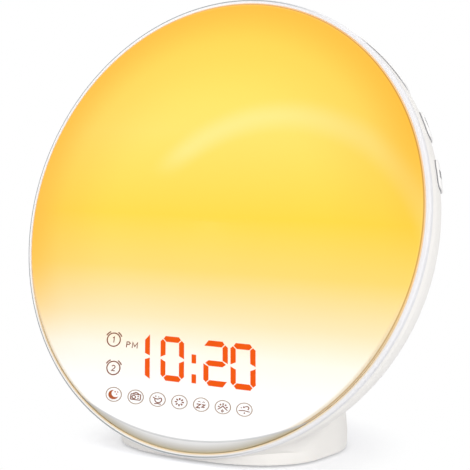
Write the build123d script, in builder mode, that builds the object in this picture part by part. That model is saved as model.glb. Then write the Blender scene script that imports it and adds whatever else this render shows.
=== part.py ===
from build123d import *
import math
import os

# Sunrise alarm clock: a round lamp head that leans back, on a moulded foot.
# Millimetres and degrees. The front faces -Y, +Z is up, +X is to the right of
# someone facing the clock. The origin is on the table, below the middle of the clock.
# "Depth" is measured along the head's axis, back from the face's joint plane.

# ---------------------------------------------------------------- driving sizes

# stance
head_lean = 15.0            # the face leans back from upright
head_advance = 15.3         # centre of the face in front of the origin
foot_centre = -1.3          # centre of the foot, along Y

# The bezel's radius drives the whole head: the other radii are set off from it.
bezel_radius = 85.0
bezel_width = 2.05          # ring seen round the diffuser
wall = 2.2                  # moulded wall of the housing
lens_radius = bezel_radius - bezel_width
land_radius = bezel_radius - 7.0            # inner edge of the land that the diffuser sits on
bowl_radius = bezel_radius - 0.3
band_radius = bezel_radius - 0.8            # front edge of the housing
spigot_radius = bowl_radius - wall - 0.15   # ring that locates the bezel in the housing
head_height = bezel_radius - 1.1            # centre of the face above the table

# bezel, which carries the front
bezel_depth = 2.2           # joint plane to the housing's edge
bezel_crown = 0.25          # the ring stands this proud of the joint plane
bezel_draft = 0.2
bezel_round = 0.8
lens_gap = 0.1              # between the diffuser and the ring
lens_seat = 1.0             # depth of the land
land_thickness = 1.2
spigot_wall = 1.5
spigot_length = 3.3

# diffuser
lens_wall = 2.0
lens_edge_height = 1.1      # face above the joint plane, at its shoulder
lens_crown_height = 2.4     # face above the joint plane, at its centre
shoulder_radius = 1.3
shoulder_run = 1.5          # the domed part ends this far inside the edge
skirt_wall = 2.2
chin_rise = 30.0            # centre of the chin's bevel above the face's centre
chin_drop = lens_radius - 4.15      # bevel's start below the face's centre
chin_slope = 0.3
chin_reach = 8.0            # length of the bevel's cutter, past the rim

# housing
bowl_bulge = 44.5           # semi-axis of the bowl's curve along the depth
bowl_start = 5.0            # depth where the curve starts
bowl_depth = 42.0           # depth of the flat back
flare_radius = 9.0          # fillet between foot and bowl
rim_break = 0.3             # chamfer at the joint with the bezel
blank_front = 10.0          # the solid form starts this far in front of the joint plane

# foot: each level has a height, how far it draws in at the sides, front and back,
# and the squareness of its outline; it widens at the sides as it narrows to the back
foot_clearance = 0.8        # housing above the table
foot_half_width = 43.0
foot_half_depth = 33.5
foot_levels = [
    (0.0, 0.4, 0.0, 0.0, 2.5),
    (7.2, 0.0, 0.0, 0.5, 2.5),
    (15.2, -0.8, 0.5, 5.0, 2.5),
    (25.2, -3.0, 2.5, 11.0, 2.4),
    (39.2, -5.0, 5.5, 18.0, 2.2),
]

# keys on the rim
key_depth = 12.5            # middle of every key
key_width = 10.0            # size along the depth
key_corner = 2.5
key_length = 10.8           # size along the rim
key_low_angle = 15.3        # side keys, up from the horizontal
key_high_angle = 28.0
bar_end_angle = 39.45       # the snooze bar ends at this angle on either side
key_proud = 0.9
key_round = 0.5
key_wall = 1.5
key_gap = 0.35              # around each key in its aperture
key_lip = 1.1               # flange past the aperture, in front and behind
key_lip_thickness = 1.2
key_seat_gap = 0.3          # flange behind the wall at rest
stem_radius = 2.0

# tact switches and their boards, on bosses behind the keys
switch_depth = 14.5
switch_size = 6.0
switch_height = 3.5
switch_bore = 2.0
plunger_radius = 1.7
plunger_height = 0.8
plunger_root = 1.0          # length of the plunger inside its switch
plunger_fit = 0.05
key_board_level = bowl_radius - 18.7        # inner face of each board from the head's axis
key_board_thickness = 1.2
key_board_front = 11.0      # depth of the boards' front edge
key_board_back = 24.0
key_boss_depth = 21.5
key_boss_radius = 2.2
side_boss_spread = 17.5
bar_boss_spread = 23.0
board_margin = 3.2          # board past its bosses' centres
bar_switch_spacing = 36.0

# display
display_slant = 8.5         # digits and icons lean to the left
digit_height = 15.8
digit_width = 10.0
digit_stroke = 1.8
segment_gap = 0.2
digit_level = 31.65 - lens_radius           # middle of the digits above the face's centre
digit_centres = [-22.8, -7.8, 11.1, 22.4]
digit_segments = ["bc", "abcdefg", "abcdefg", "abcdefg"]
digit_lit = ["bc", "abcdef", "abged", "abcdef"]
colon_centre = 2.1
colon_width = 1.9
colon_height = 3.2
colon_spread = 6.8
icon_level = digit_level - 14.5
icon_start = -31.2
icon_pitch = 9.33
icon_count = 7
icon_radius = 3.3
alarm_centre = -34.0
alarm_level = digit_level - 0.6
alarm_spread = 10.4
alarm_radius = 2.9
meridiem_centre = -26.0
meridiem_level = digit_level + 4.4
meridiem_width = 6.4
meridiem_height = 3.1
display_front = 1.3         # depth of the display block's front
display_thickness = 7.0
display_left = -40.5
display_right = 34.0
display_top = digit_level + 12.3
display_bottom = digit_level - 21.2
display_radius = land_radius - 1.2  # the block's lower corners follow the bezel
mask_thickness = 0.3
guide_fit = 0.05
guide_recess = 1.2          # light guides end this far in front of the board
display_led_size = 1.0
display_led_height = 0.7
board_thickness = 1.6
display_board_margin = 0.3
ear_centres = [-30.0, 23.0]
ear_width = 7.0
ear_reach = 7.0
ear_thickness = 2.0
ear_boss_radius = 2.5
tongue_half_width = 12.0    # tongue that hooks behind the reflector's flange
tongue_reach = 2.4
tongue_thickness = 1.5
tongue_fit = 0.1

# lamp
reflector_radius = spigot_radius - spigot_wall - 0.35
reflector_mouth = land_radius - 1.5
reflector_floor_radius = reflector_mouth - 18.5
reflector_floor = 12.0      # depth of the floor
reflector_wall = 1.5
reflector_gap = 0.5         # round the posts and the display
lamp_rise = 10.5            # centre of the lamp board above the face's centre
lamp_radius = 44.0
lamp_board_thickness = 1.2
led_size = 5.0
led_height = 1.6
led_rings = [(37.0, 12), (20.0, 6)]
lamp_screw_circle = 28.5
lamp_screw_count = 3
stake_radius = 0.8
stake_head_radius = 1.3
stake_head_height = 0.6
stake_circle = land_radius + 1.0
stake_count = 8
stake_fit = 0.05

# screws that close the housing
post_circle = bezel_radius - 15.0
post_radius = 3.25
post_pad = 1.0              # pad round each post, on the land
post_depth = 13.0           # end of the bezel's posts
post_start_angle = 45.0
post_count = 4
tube_radius = 4.2
screw_seat = 17.0           # depth of the screw heads' seat
counterbore_radius = 3.2
closing_screw_length = 12.0

# main board
board_width = 84.0
board_height = 42.0
board_rise = 24.0
board_depth = 24.0
board_hole_inset = 4.0
board_corner = 2.0
standoff_radius = 3.0
chips = [(-14.0, 2.0, 10.0, 10.0), (10.0, -4.0, 7.0, 5.0), (26.0, 8.0, 5.0, 4.0)]
chip_height = 1.2
capacitors = [(-30.0, -8.0), (-30.0, 3.0), (22.0, -10.0)]
capacitor_radius = 4.0
capacitor_height = 8.0
capacitor_round = 0.5

# speaker
speaker_drop = 12.0         # speaker centre below the head's axis
speaker_size = 36.0
speaker_hole_spacing = 29.0
speaker_flange = 1.5
speaker_gasket_thickness = 2.0
speaker_gasket_width = 2.5
speaker_mouth = 15.5
speaker_height = 13.0
speaker_wall = 0.8
speaker_boss_radius = 2.5
speaker_corner = 4.0
basket_window = (3.0, 8.0)
window_circle = 13.6        # centres of the basket's windows
cone_depth = 4.5
cone_thickness = 0.5
surround_width = 2.5
magnet_radius = 10.0
magnet_height = 6.0
magnet_round = 0.6
grille_slot_width = 1.8
grille_pitch = 3.8
grille_rows = 7
grille_radius = 13.5

# power socket and aerial exit, in the heel
socket_side = 13.0          # both stand this far off the middle
socket_radius = 4.0
socket_bore_radius = 2.85
socket_bore_depth = 9.0
socket_pin_radius = 1.0
socket_pin_inset = 1.0      # the pin ends this far inside the nose
socket_nose = 4.0
socket_body = (9.0, 10.0, 8.6)
socket_fit = 0.1
heel_seat = 26.5            # inner seat of socket and bushing behind the foot's centre
heel_face = 30.0            # spot face round them, outside
spot_margin = 1.5
aerial_radius = 2.5
aerial_flange = 1.0
aerial_bore = 0.8
aerial_round = 0.4
aerial_level = 9.0

# base
base_thickness = 2.2
base_gap = 0.25
base_front_inset = 6.5      # opening behind the foot's front
base_screws = [(35.0, -2.0), (30.5, 20.5)]
base_boss_radius = 3.4
base_boss_height = 11.0
base_screw_length = 9.0
boss_web = 1.6
# places on the foot are measured from its centre
feet_places = [(24.0, -14.5), (21.5, 18.0)]
rubber_radius = 5.0
rubber_recess = 0.8
rubber_round = 0.3

# coin cell, behind a bayonet cover
cell_y = 2.0
cell_radius = 10.0
cell_thickness = 3.2
cell_round = 0.3
cell_fit = 0.4
cell_gap = 0.1
cup_wall = 2.5
cup_roof = 1.0
contact_thickness = 0.3
contact_width = 5.0
cover_radius = 12.5
cover_thickness = 1.2
cover_gap = 0.1
cover_clearance = 0.3
cover_turn = 45.0
lug_reach = 0.8
lug_width = 4.6
lug_thickness = 1.0
lug_gap = 0.15
coin_slot = (12.0, 1.8)

# machine screws: shank radius, head radius, head height
small_screw = (0.9, 1.8, 1.2)
large_screw = (1.4, 2.8, 1.8)
screw_fit = 0.05
screw_clearance = 0.2
screw_tip_gap = 0.5         # a pilot hole goes on past its screw
recess_length = 1.2         # cross recess, in head radii
recess_width = 0.3
recess_depth = 0.6          # in head heights
board_screw_grip = 6.0
speaker_screw_grip = 3.5
key_screw_grip = 5.0
lamp_screw_grip = 6.0

# ---------------------------------------------------------------- frames

lean_sin = math.sin(math.radians(head_lean))
lean_cos = math.cos(math.radians(head_lean))

# HEAD is the face's joint plane: x to the right, y up the face, z out to the front.
HEAD = Plane(
    origin=(0, -head_advance, head_height),
    x_dir=(1, 0, 0),
    z_dir=(0, -lean_cos, lean_sin),
)
HEAD_AXIS = Axis(HEAD.origin, HEAD.z_dir)
# SECTION cuts the head along its axis: x is the radius, y the height to the front.
SECTION = Plane(origin=HEAD.origin, x_dir=(1, 0, 0), z_dir=-HEAD.y_dir)


def behind(depth):
    """The plane across the head at this depth: x right, y up the face, z out to the front."""
    return HEAD.offset(-depth)


def rim_plane(angle, level=0.0):
    """A plane that faces out of the rim at this angle: x is the depth, y runs along the rim."""
    turn = math.radians(angle)
    outward = HEAD.x_dir * math.cos(turn) + HEAD.y_dir * math.sin(turn)
    return Plane(origin=HEAD.origin + outward * level, x_dir=-HEAD.z_dir, z_dir=outward)


def bowl_at(depth, inset=0.0):
    """Radius of the bowl's wall at a depth, this far inside its outer face."""
    run = (depth - bowl_start) / (bowl_bulge - inset)
    return (bowl_radius - inset) * math.sqrt(1 - run * run)


def lens_level(radius):
    """Height of the diffuser's dome over the joint plane at a radius."""
    fall = lens_crown_height - lens_edge_height
    return lens_crown_height - fall * (radius / lens_radius) ** 2


def export(builder, name):
    """Labels a finished piece and writes its STEP file."""
    builder.part.label = name
    export_step(builder.part, f"parts/{name}.step")


def outline(*points):
    """A face with straight sides, in the current sketch."""
    with BuildLine() as sides:
        Polyline(*points, close=True)
    make_face(sides.edges())


def bowl_section(inset, depth, *front):
    """Half section of the bowl, this far inside its outer face, in the current sketch."""
    long_axis, short_axis = bowl_radius - inset, bowl_bulge - inset
    sweep_angle = math.degrees(math.asin((depth - bowl_start) / short_axis))
    with BuildLine() as sides:
        curve = EllipticalCenterArc(
            (0, -bowl_start), long_axis, short_axis, start_angle=-sweep_angle, arc_size=sweep_angle
        )
        Polyline(curve @ 0, (0, -depth), *front, curve @ 1)
    make_face(sides.edges())


def wall_strip(outer_inset, inner_inset, end):
    """Half section of a skin that follows the bowl's wall, in the current sketch."""
    with BuildLine() as sides:
        curves = []
        for inset in (outer_inset, inner_inset):
            sweep_angle = math.degrees(math.asin((end - bowl_start) / (bowl_bulge - inset)))
            curves.append(
                EllipticalCenterArc(
                    (0, -bowl_start),
                    bowl_radius - inset,
                    bowl_bulge - inset,
                    start_angle=-sweep_angle,
                    arc_size=sweep_angle,
                )
            )
        Line(curves[0] @ 0, curves[1] @ 0)
        Line(curves[0] @ 1, curves[1] @ 1)
    make_face(sides.edges())


def foot_section(level, side_inset, front_inset, back_inset):
    """Sketch of the foot at one of its levels, drawn in by a wall where one is given."""
    height, side, front, back, squareness = level
    half_x = foot_half_width - side - side_inset
    front_y = -foot_half_depth + front + front_inset
    back_y = foot_half_depth - back - back_inset
    half_y, centre_y = (back_y - front_y) / 2, (back_y + front_y) / 2
    points = []
    steps = 16
    for step in range(steps):
        turn = 2 * math.pi * step / steps
        c, s = math.cos(turn), math.sin(turn)
        x = half_x * math.copysign(abs(c) ** (2 / squareness), c)
        y = half_y * math.copysign(abs(s) ** (2 / squareness), s)
        points.append((x, y + centre_y + foot_centre))
    with BuildSketch(Plane.XY.offset(foot_clearance + height)) as section:
        with BuildLine():
            Spline(*points, periodic=True)
        make_face()
    return section


def screws(name, seat, places, size, length):
    """A set of screws in one node: heads on the seat plane, shanks through it."""
    shank, head, height = size
    with BuildPart() as screw_set:
        with BuildSketch(seat):
            with Locations(*places):
                Circle(head)
        extrude(amount=height)
        with BuildSketch(seat):
            with Locations(*places):
                Circle(shank)
        extrude(amount=-length)
        with BuildSketch(seat.offset(height)):
            with Locations(*places):
                Rectangle(recess_length * head, recess_width * head)
                Rectangle(recess_width * head, recess_length * head)
        extrude(amount=-recess_depth * height, mode=Mode.SUBTRACT)
    export(screw_set, name)


os.makedirs("parts", exist_ok=True)

land_depth = lens_seat + land_thickness
lens_opening = lens_radius + lens_gap
post_places = [
    (
        post_circle * math.cos(math.radians(post_start_angle + step * 360 / post_count)),
        post_circle * math.sin(math.radians(post_start_angle + step * 360 / post_count)),
    )
    for step in range(post_count)
]

# ---------------------------------------------------------------- bezel

with BuildPart() as bezel_ring:
    with BuildSketch(SECTION) as bezel_profile:
        spigot_end = bezel_depth + spigot_length
        outline(
            (lens_opening, -lens_seat),
            (lens_opening, bezel_crown),
            (bezel_radius, bezel_crown),
            (bezel_radius - bezel_draft, -bezel_depth),
            (spigot_radius, -bezel_depth),
            (spigot_radius, -spigot_end),
            (spigot_radius - spigot_wall, -spigot_end),
            (spigot_radius - spigot_wall, -land_depth),
            (land_radius, -land_depth),
            (land_radius, -lens_seat),
        )
        crown = bezel_profile.vertices().group_by(Axis.Y)[-1].sort_by(Axis.X)
        fillet(crown[-1], bezel_round)
        chamfer(bezel_profile.vertices().group_by(Axis.Y)[-1].sort_by(Axis.X)[0], bezel_draft)
    revolve(axis=HEAD_AXIS)
    # a pad on the land carries each post that takes a closing screw
    with BuildSketch(behind(lens_seat)):
        pad_width = 2 * (post_radius + post_pad)
        pad_length = land_radius + post_pad - post_circle
        with PolarLocations(post_circle + pad_length / 2, post_count, start_angle=post_start_angle):
            Rectangle(pad_length, pad_width)
        with PolarLocations(post_circle, post_count, start_angle=post_start_angle):
            Circle(post_radius + post_pad)
    extrude(amount=-land_thickness)
    with BuildSketch(behind(lens_seat)):
        with Locations(*post_places):
            Circle(post_radius)
    extrude(amount=-(post_depth - lens_seat))
    with BuildSketch(behind(post_depth)):
        with Locations(*post_places):
            Circle(large_screw[0] + screw_fit)
    extrude(amount=closing_screw_length - screw_seat + post_depth + screw_tip_gap, mode=Mode.SUBTRACT)
    # heat stakes hold the reflector's flange
    with BuildSketch(behind(land_depth)):
        with PolarLocations(stake_circle, stake_count, start_angle=180 / stake_count):
            Circle(stake_radius)
    extrude(amount=-reflector_wall)
    with BuildSketch(behind(land_depth + reflector_wall)):
        with PolarLocations(stake_circle, stake_count, start_angle=180 / stake_count):
            Circle(stake_head_radius)
    extrude(amount=-stake_head_height)
export(bezel_ring, "bezel_ring")

# ---------------------------------------------------------------- diffuser

with BuildPart() as front_diffuser:
    with BuildSketch(SECTION) as lens_profile:
        inner_edge = lens_radius - skirt_wall
        with BuildLine():
            dome = TangentArc(
                (0, lens_crown_height), (lens_radius - shoulder_run, lens_edge_height), tangent=(1, 0)
            )
            inside = TangentArc(
                (0, lens_crown_height - lens_wall),
                (inner_edge, lens_edge_height - lens_wall),
                tangent=(1, 0),
            )
            Polyline(
                dome @ 1,
                (lens_radius, lens_edge_height),
                (lens_radius, -lens_seat),
                (inner_edge, -lens_seat),
                inside @ 1,
            )
            Line(inside @ 0, dome @ 0)
        make_face()
        fillet(lens_profile.vertices().group_by(Axis.X)[-1].sort_by(Axis.Y)[-1], shoulder_radius)
    revolve(axis=HEAD_AXIS)
    # the chin is a shallow bevel below the display, cut by a wide cone
    chin_origin = HEAD.origin + HEAD.y_dir * chin_rise
    with BuildSketch(Plane(origin=chin_origin, x_dir=(1, 0, 0), z_dir=-HEAD.y_dir)):
        bevel_start = chin_rise + chin_drop
        level = lens_level(chin_drop)
        fall = chin_reach * chin_slope
        outline(
            (bevel_start - chin_reach, level + fall),
            (bevel_start + chin_reach, level - fall),
            (bevel_start + chin_reach, level + fall),
        )
    revolve(axis=Axis(chin_origin, HEAD.z_dir), mode=Mode.SUBTRACT)
export(front_diffuser, "front_diffuser")

# ---------------------------------------------------------------- housing

base_level = foot_clearance + base_thickness
bar_half_length = bowl_radius * math.cos(math.radians(bar_end_angle))
pair_angle = (key_low_angle + key_high_angle) / 2
pair_offset = bowl_radius * math.sin(math.radians((key_high_angle - key_low_angle) / 2))
key_board_top = key_board_level + key_board_thickness
# each key: name, angle it is pressed along, offset along the rim, length, its switches' offsets
keys = [
    ("snooze_bar", 90, 0, 2 * bar_half_length, (-bar_switch_spacing / 2, bar_switch_spacing / 2)),
    ("right_lower_key", pair_angle, -pair_offset, key_length, (-pair_offset,)),
    ("right_upper_key", pair_angle, pair_offset, key_length, (pair_offset,)),
    ("left_lower_key", 180 - pair_angle, pair_offset, key_length, (pair_offset,)),
    ("left_upper_key", 180 - pair_angle, -pair_offset, key_length, (-pair_offset,)),
]
# each key board: name, angle, spread of its two bosses
key_boards = [
    ("snooze", 90, bar_boss_spread),
    ("right", pair_angle, side_boss_spread),
    ("left", 180 - pair_angle, side_boss_spread),
]
board_places = [
    (side * (board_width / 2 - board_hole_inset), board_rise + end * (board_height / 2 - board_hole_inset))
    for side in (-1, 1)
    for end in (-1, 1)
]
speaker_places = [
    (side * speaker_hole_spacing / 2, -speaker_drop + end * speaker_hole_spacing / 2)
    for side in (-1, 1)
    for end in (-1, 1)
]
base_places = [(side * x, y + foot_centre) for side in (-1, 1) for x, y in base_screws]
inner_back = bowl_depth - wall
socket_level = base_level + socket_body[2] / 2
heel_plane = Plane(origin=(0, foot_centre + heel_seat, 0), x_dir=(-1, 0, 0), z_dir=(0, 1, 0))
socket_place = (-socket_side, socket_level)
aerial_place = (socket_side, aerial_level)


def key_prism(angle, shift, length, grow, grow_length=None):
    """Prism through the rim along a key's travel, with the key's outline grown all round."""
    if grow_length is None:
        grow_length = grow
    with BuildPart() as prism:
        with BuildSketch(rim_plane(angle, bowl_radius / 2)):
            with Locations((key_depth, shift)):
                RectangleRounded(key_width + 2 * grow, length + 2 * grow_length, key_corner + grow_length)
        extrude(amount=bowl_radius)
    return prism.part


with BuildPart() as housing_form:
    with BuildSketch(SECTION):
        bowl_section(
            0, bowl_depth, (0, blank_front), (band_radius - 0.5, blank_front), (band_radius, -bezel_depth)
        )
    revolve(axis=HEAD_AXIS)
    loft([foot_section(level, 0, 0, 0).sketch for level in foot_levels])
    # the foot flares into the bowl along the edges that its side shares with the bowl's curve
    bowl_faces = housing_form.faces().filter_by(GeomType.REVOLUTION)
    foot_faces = housing_form.faces().filter_by(GeomType.BSPLINE)
    bowl_edges = bowl_faces.edges()
    flare = [edge for edge in foot_faces.edges() if any(edge.is_same(other) for other in bowl_edges)]
    fillet(flare, flare_radius)
    split(bisect_by=Plane.XY.offset(foot_clearance), keep=Keep.TOP)
    split(bisect_by=HEAD.offset(-bezel_depth), keep=Keep.BOTTOM)
    with BuildSketch(SECTION):
        outline(
            (band_radius - rim_break, -bezel_depth),
            (band_radius + rim_break, -bezel_depth),
            (band_radius + rim_break, -bezel_depth - 2 * rim_break),
        )
    revolve(axis=HEAD_AXIS, mode=Mode.SUBTRACT)

with BuildPart() as housing_cavity:
    with BuildSketch(SECTION):
        bowl_section(wall, inner_back, (0, 0), (bowl_radius - wall, 0))
    revolve(axis=HEAD_AXIS)
    loft([foot_section(level, wall, base_front_inset, wall).sketch for level in foot_levels])

with BuildPart() as housing_bosses:
    # tubes for the closing screws
    with BuildSketch(behind(post_depth)):
        with Locations(*post_places):
            Circle(tube_radius)
    extrude(amount=-bowl_depth)
    # standoffs for the main board and bosses for the speaker
    with BuildSketch(behind(board_depth + board_thickness)):
        with Locations(*board_places):
            Circle(standoff_radius)
    extrude(amount=-bowl_depth)
    with BuildSketch(behind(inner_back - speaker_gasket_thickness)):
        with Locations(*speaker_places):
            Circle(speaker_boss_radius)
    extrude(amount=-bowl_depth)
    # bosses for the key boards
    for board_name, angle, spread in key_boards:
        with BuildSketch(rim_plane(angle, key_board_top)):
            with Locations((key_boss_depth, -spread), (key_boss_depth, spread)):
                Circle(key_boss_radius)
        extrude(amount=bowl_radius - key_board_top)
    # bosses for the base, each on a web to the foot's wall
    with BuildSketch(Plane.XY.offset(base_level)):
        with Locations(*base_places):
            Circle(base_boss_radius)
        for x, y in base_places:
            reach = foot_half_width - abs(x)
            with Locations((x + math.copysign(reach / 2, x), y)):
                Rectangle(reach, boss_web)
    extrude(amount=base_boss_height)
    # seats for the socket and the bushing
    with BuildSketch(heel_plane):
        with Locations(socket_place):
            Circle(socket_radius + spot_margin)
        with Locations(aerial_place):
            Circle(aerial_radius + spot_margin)
    extrude(amount=foot_half_depth - heel_seat)
    split(bisect_by=Plane.XY.offset(base_level), keep=Keep.TOP)
    add(housing_form.part, mode=Mode.INTERSECT)

with BuildPart() as housing_shell:
    add(housing_form.part)
    add(housing_cavity.part, mode=Mode.SUBTRACT)
    add(housing_bosses.part)
    # closing screws: clearance hole and deep counterbore
    with BuildSketch(behind(post_depth)):
        with Locations(*post_places):
            Circle(large_screw[0] + screw_clearance)
    extrude(amount=-bowl_depth, mode=Mode.SUBTRACT)
    with BuildSketch(behind(screw_seat)):
        with Locations(*post_places):
            Circle(counterbore_radius)
    extrude(amount=-bowl_depth, mode=Mode.SUBTRACT)
    # pilot holes
    with BuildSketch(behind(board_depth + board_thickness)):
        with Locations(*board_places):
            Circle(small_screw[0] + screw_fit)
    extrude(amount=-board_screw_grip, mode=Mode.SUBTRACT)
    with BuildSketch(behind(inner_back - speaker_gasket_thickness)):
        with Locations(*speaker_places):
            Circle(small_screw[0] + screw_fit)
    extrude(amount=-speaker_screw_grip, mode=Mode.SUBTRACT)
    for board_name, angle, spread in key_boards:
        with BuildSketch(rim_plane(angle, key_board_top)):
            with Locations((key_boss_depth, -spread), (key_boss_depth, spread)):
                Circle(small_screw[0] + screw_fit)
        extrude(amount=key_screw_grip, mode=Mode.SUBTRACT)
    with BuildSketch(Plane.XY.offset(base_level)):
        with Locations(*base_places):
            Circle(large_screw[0] + screw_fit)
    extrude(amount=base_screw_length, mode=Mode.SUBTRACT)
    # speaker grille: upright slots that fill a circle
    with BuildSketch(behind(inner_back)):
        for row in range(grille_rows):
            x = (row - (grille_rows - 1) / 2) * grille_pitch
            slot_length = 2 * math.sqrt(grille_radius**2 - x**2)
            with Locations((x, -speaker_drop)):
                SlotOverall(slot_length, grille_slot_width, rotation=90)
    extrude(amount=-bowl_depth, mode=Mode.SUBTRACT)
    # socket and aerial holes with a spot face round each
    with BuildSketch(heel_plane):
        with Locations(socket_place):
            Circle(socket_radius + socket_fit)
        with Locations(aerial_place):
            Circle(aerial_radius + socket_fit)
    extrude(amount=foot_half_depth, mode=Mode.SUBTRACT)
    with BuildSketch(heel_plane.offset(heel_face - heel_seat)):
        with Locations(socket_place):
            Circle(socket_radius + spot_margin)
        with Locations(aerial_place):
            Circle(aerial_radius + spot_margin)
    extrude(amount=foot_half_depth, mode=Mode.SUBTRACT)
    # an aperture for each key
    for key_name, angle, shift, length, switch_offsets in keys:
        add(key_prism(angle, shift, length, 0), mode=Mode.SUBTRACT)
export(housing_shell, "housing_shell")

# ---------------------------------------------------------------- keys


def rim_skin(outer_inset, inner_inset):
    """A skin round the head, between two insets from the bowl's outer face."""
    with BuildPart() as skin:
        with BuildSketch(SECTION):
            wall_strip(outer_inset, inner_inset, key_depth + key_width)
        revolve(axis=HEAD_AXIS)
    return skin.part


def key(name, angle, shift, length, switch_offsets):
    """A key: a hollow cap that follows the rim, its flange behind the wall, and its stems."""
    lip_start = wall + key_seat_gap
    lip_end = lip_start + key_lip_thickness
    with BuildPart() as flange:
        add(key_prism(angle, shift, length, key_lip, -key_gap))
        add(rim_skin(lip_start, lip_end), mode=Mode.INTERSECT)
    with BuildPart() as pocket:
        add(key_prism(angle, shift, length, -key_gap - key_wall))
        add(rim_skin(key_wall - key_proud, 2 * lip_end), mode=Mode.INTERSECT)
    stem_foot = key_board_top + switch_height + plunger_height
    with BuildPart() as cap:
        add(key_prism(angle, shift, length, -key_gap))
        add(rim_skin(-key_proud, lip_end), mode=Mode.INTERSECT)
        top_face = cap.faces().sort_by(Axis(HEAD.origin, rim_plane(angle).z_dir))[-1]
        fillet(top_face.edges(), key_round)
        add(flange.part)
        add(pocket.part, mode=Mode.SUBTRACT)
        for place in switch_offsets:
            top = math.sqrt(bowl_at(switch_depth, key_wall / 2 - key_proud) ** 2 - place**2)
            with BuildSketch(rim_plane(angle, stem_foot)):
                with Locations((switch_depth, place)):
                    Circle(stem_radius)
            extrude(amount=top - stem_foot)
    export(cap, name)


def plungers(name, angle, offsets):
    """Switch plungers, which move with their key."""
    with BuildPart() as plunger_set:
        with BuildSketch(rim_plane(angle, key_board_top + switch_height - plunger_root)):
            with Locations(*[(switch_depth, place) for place in offsets]):
                Circle(plunger_radius)
        extrude(amount=plunger_root + plunger_height)
    export(plunger_set, name)


def key_board(name, angle, spread, offsets):
    """A small board on its two bosses, with its switches and screws."""
    middle = (key_board_front + key_board_back) / 2
    with BuildPart() as board:
        with BuildSketch(rim_plane(angle, key_board_level)):
            with Locations((middle, 0)):
                board_length = 2 * (spread + board_margin)
                RectangleRounded(key_board_back - key_board_front, board_length, board_corner / 2)
            with Locations((key_boss_depth, -spread), (key_boss_depth, spread)):
                Circle(small_screw[0] + screw_clearance, mode=Mode.SUBTRACT)
        extrude(amount=key_board_thickness)
    export(board, f"{name}_key_board")
    with BuildPart() as switches:
        with BuildSketch(rim_plane(angle, key_board_top)):
            with Locations(*[(switch_depth, place) for place in offsets]):
                Rectangle(switch_size, switch_size)
        extrude(amount=switch_height)
        with BuildSketch(rim_plane(angle, key_board_top + switch_height)):
            with Locations(*[(switch_depth, place) for place in offsets]):
                Circle(plunger_radius + plunger_fit)
        extrude(amount=-switch_bore, mode=Mode.SUBTRACT)
    export(switches, f"{name}_switches")
    seat = rim_plane(angle, key_board_level)
    screw_seat_plane = Plane(origin=seat.origin, x_dir=seat.x_dir, z_dir=-seat.z_dir)
    screws(
        f"{name}_board_screws",
        screw_seat_plane,
        [(key_boss_depth, -spread), (key_boss_depth, spread)],
        small_screw,
        key_board_thickness + key_screw_grip - screw_tip_gap,
    )


for key_name, angle, shift, length, switch_offsets in keys:
    key(key_name, angle, shift, length, switch_offsets)
    plungers(key_name.replace("_key", "").replace("_bar", "") + "_plunger", angle, switch_offsets)
for board_name, angle, spread in key_boards:
    switch_offsets = [place for row in keys if row[1] == angle for place in row[4]]
    key_board(board_name, angle, spread, switch_offsets)
screws(
    "housing_screws",
    Plane(origin=behind(screw_seat).origin, x_dir=(1, 0, 0), z_dir=-HEAD.z_dir),
    post_places,
    large_screw,
    closing_screw_length,
)

# ---------------------------------------------------------------- lamp

board_front = reflector_floor - lamp_board_thickness
lamp_plane = Plane(
    origin=HEAD.origin + HEAD.y_dir * lamp_rise - HEAD.z_dir * board_front,
    x_dir=(1, 0, 0),
    z_dir=HEAD.z_dir,
)
display_back = display_front + display_thickness
ear_level = display_top + ear_reach / 2


def display_face(margin):
    """Outline of the display block, grown by a margin, in the current sketch."""
    width = display_right - display_left + 2 * margin
    height = display_top - display_bottom + 2 * margin
    with BuildSketch(mode=Mode.PRIVATE) as block:
        with Locations(((display_left + display_right) / 2, (display_top + display_bottom) / 2)):
            Rectangle(width, height)
        Circle(display_radius + margin, mode=Mode.INTERSECT)
    add(block.sketch)


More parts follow.
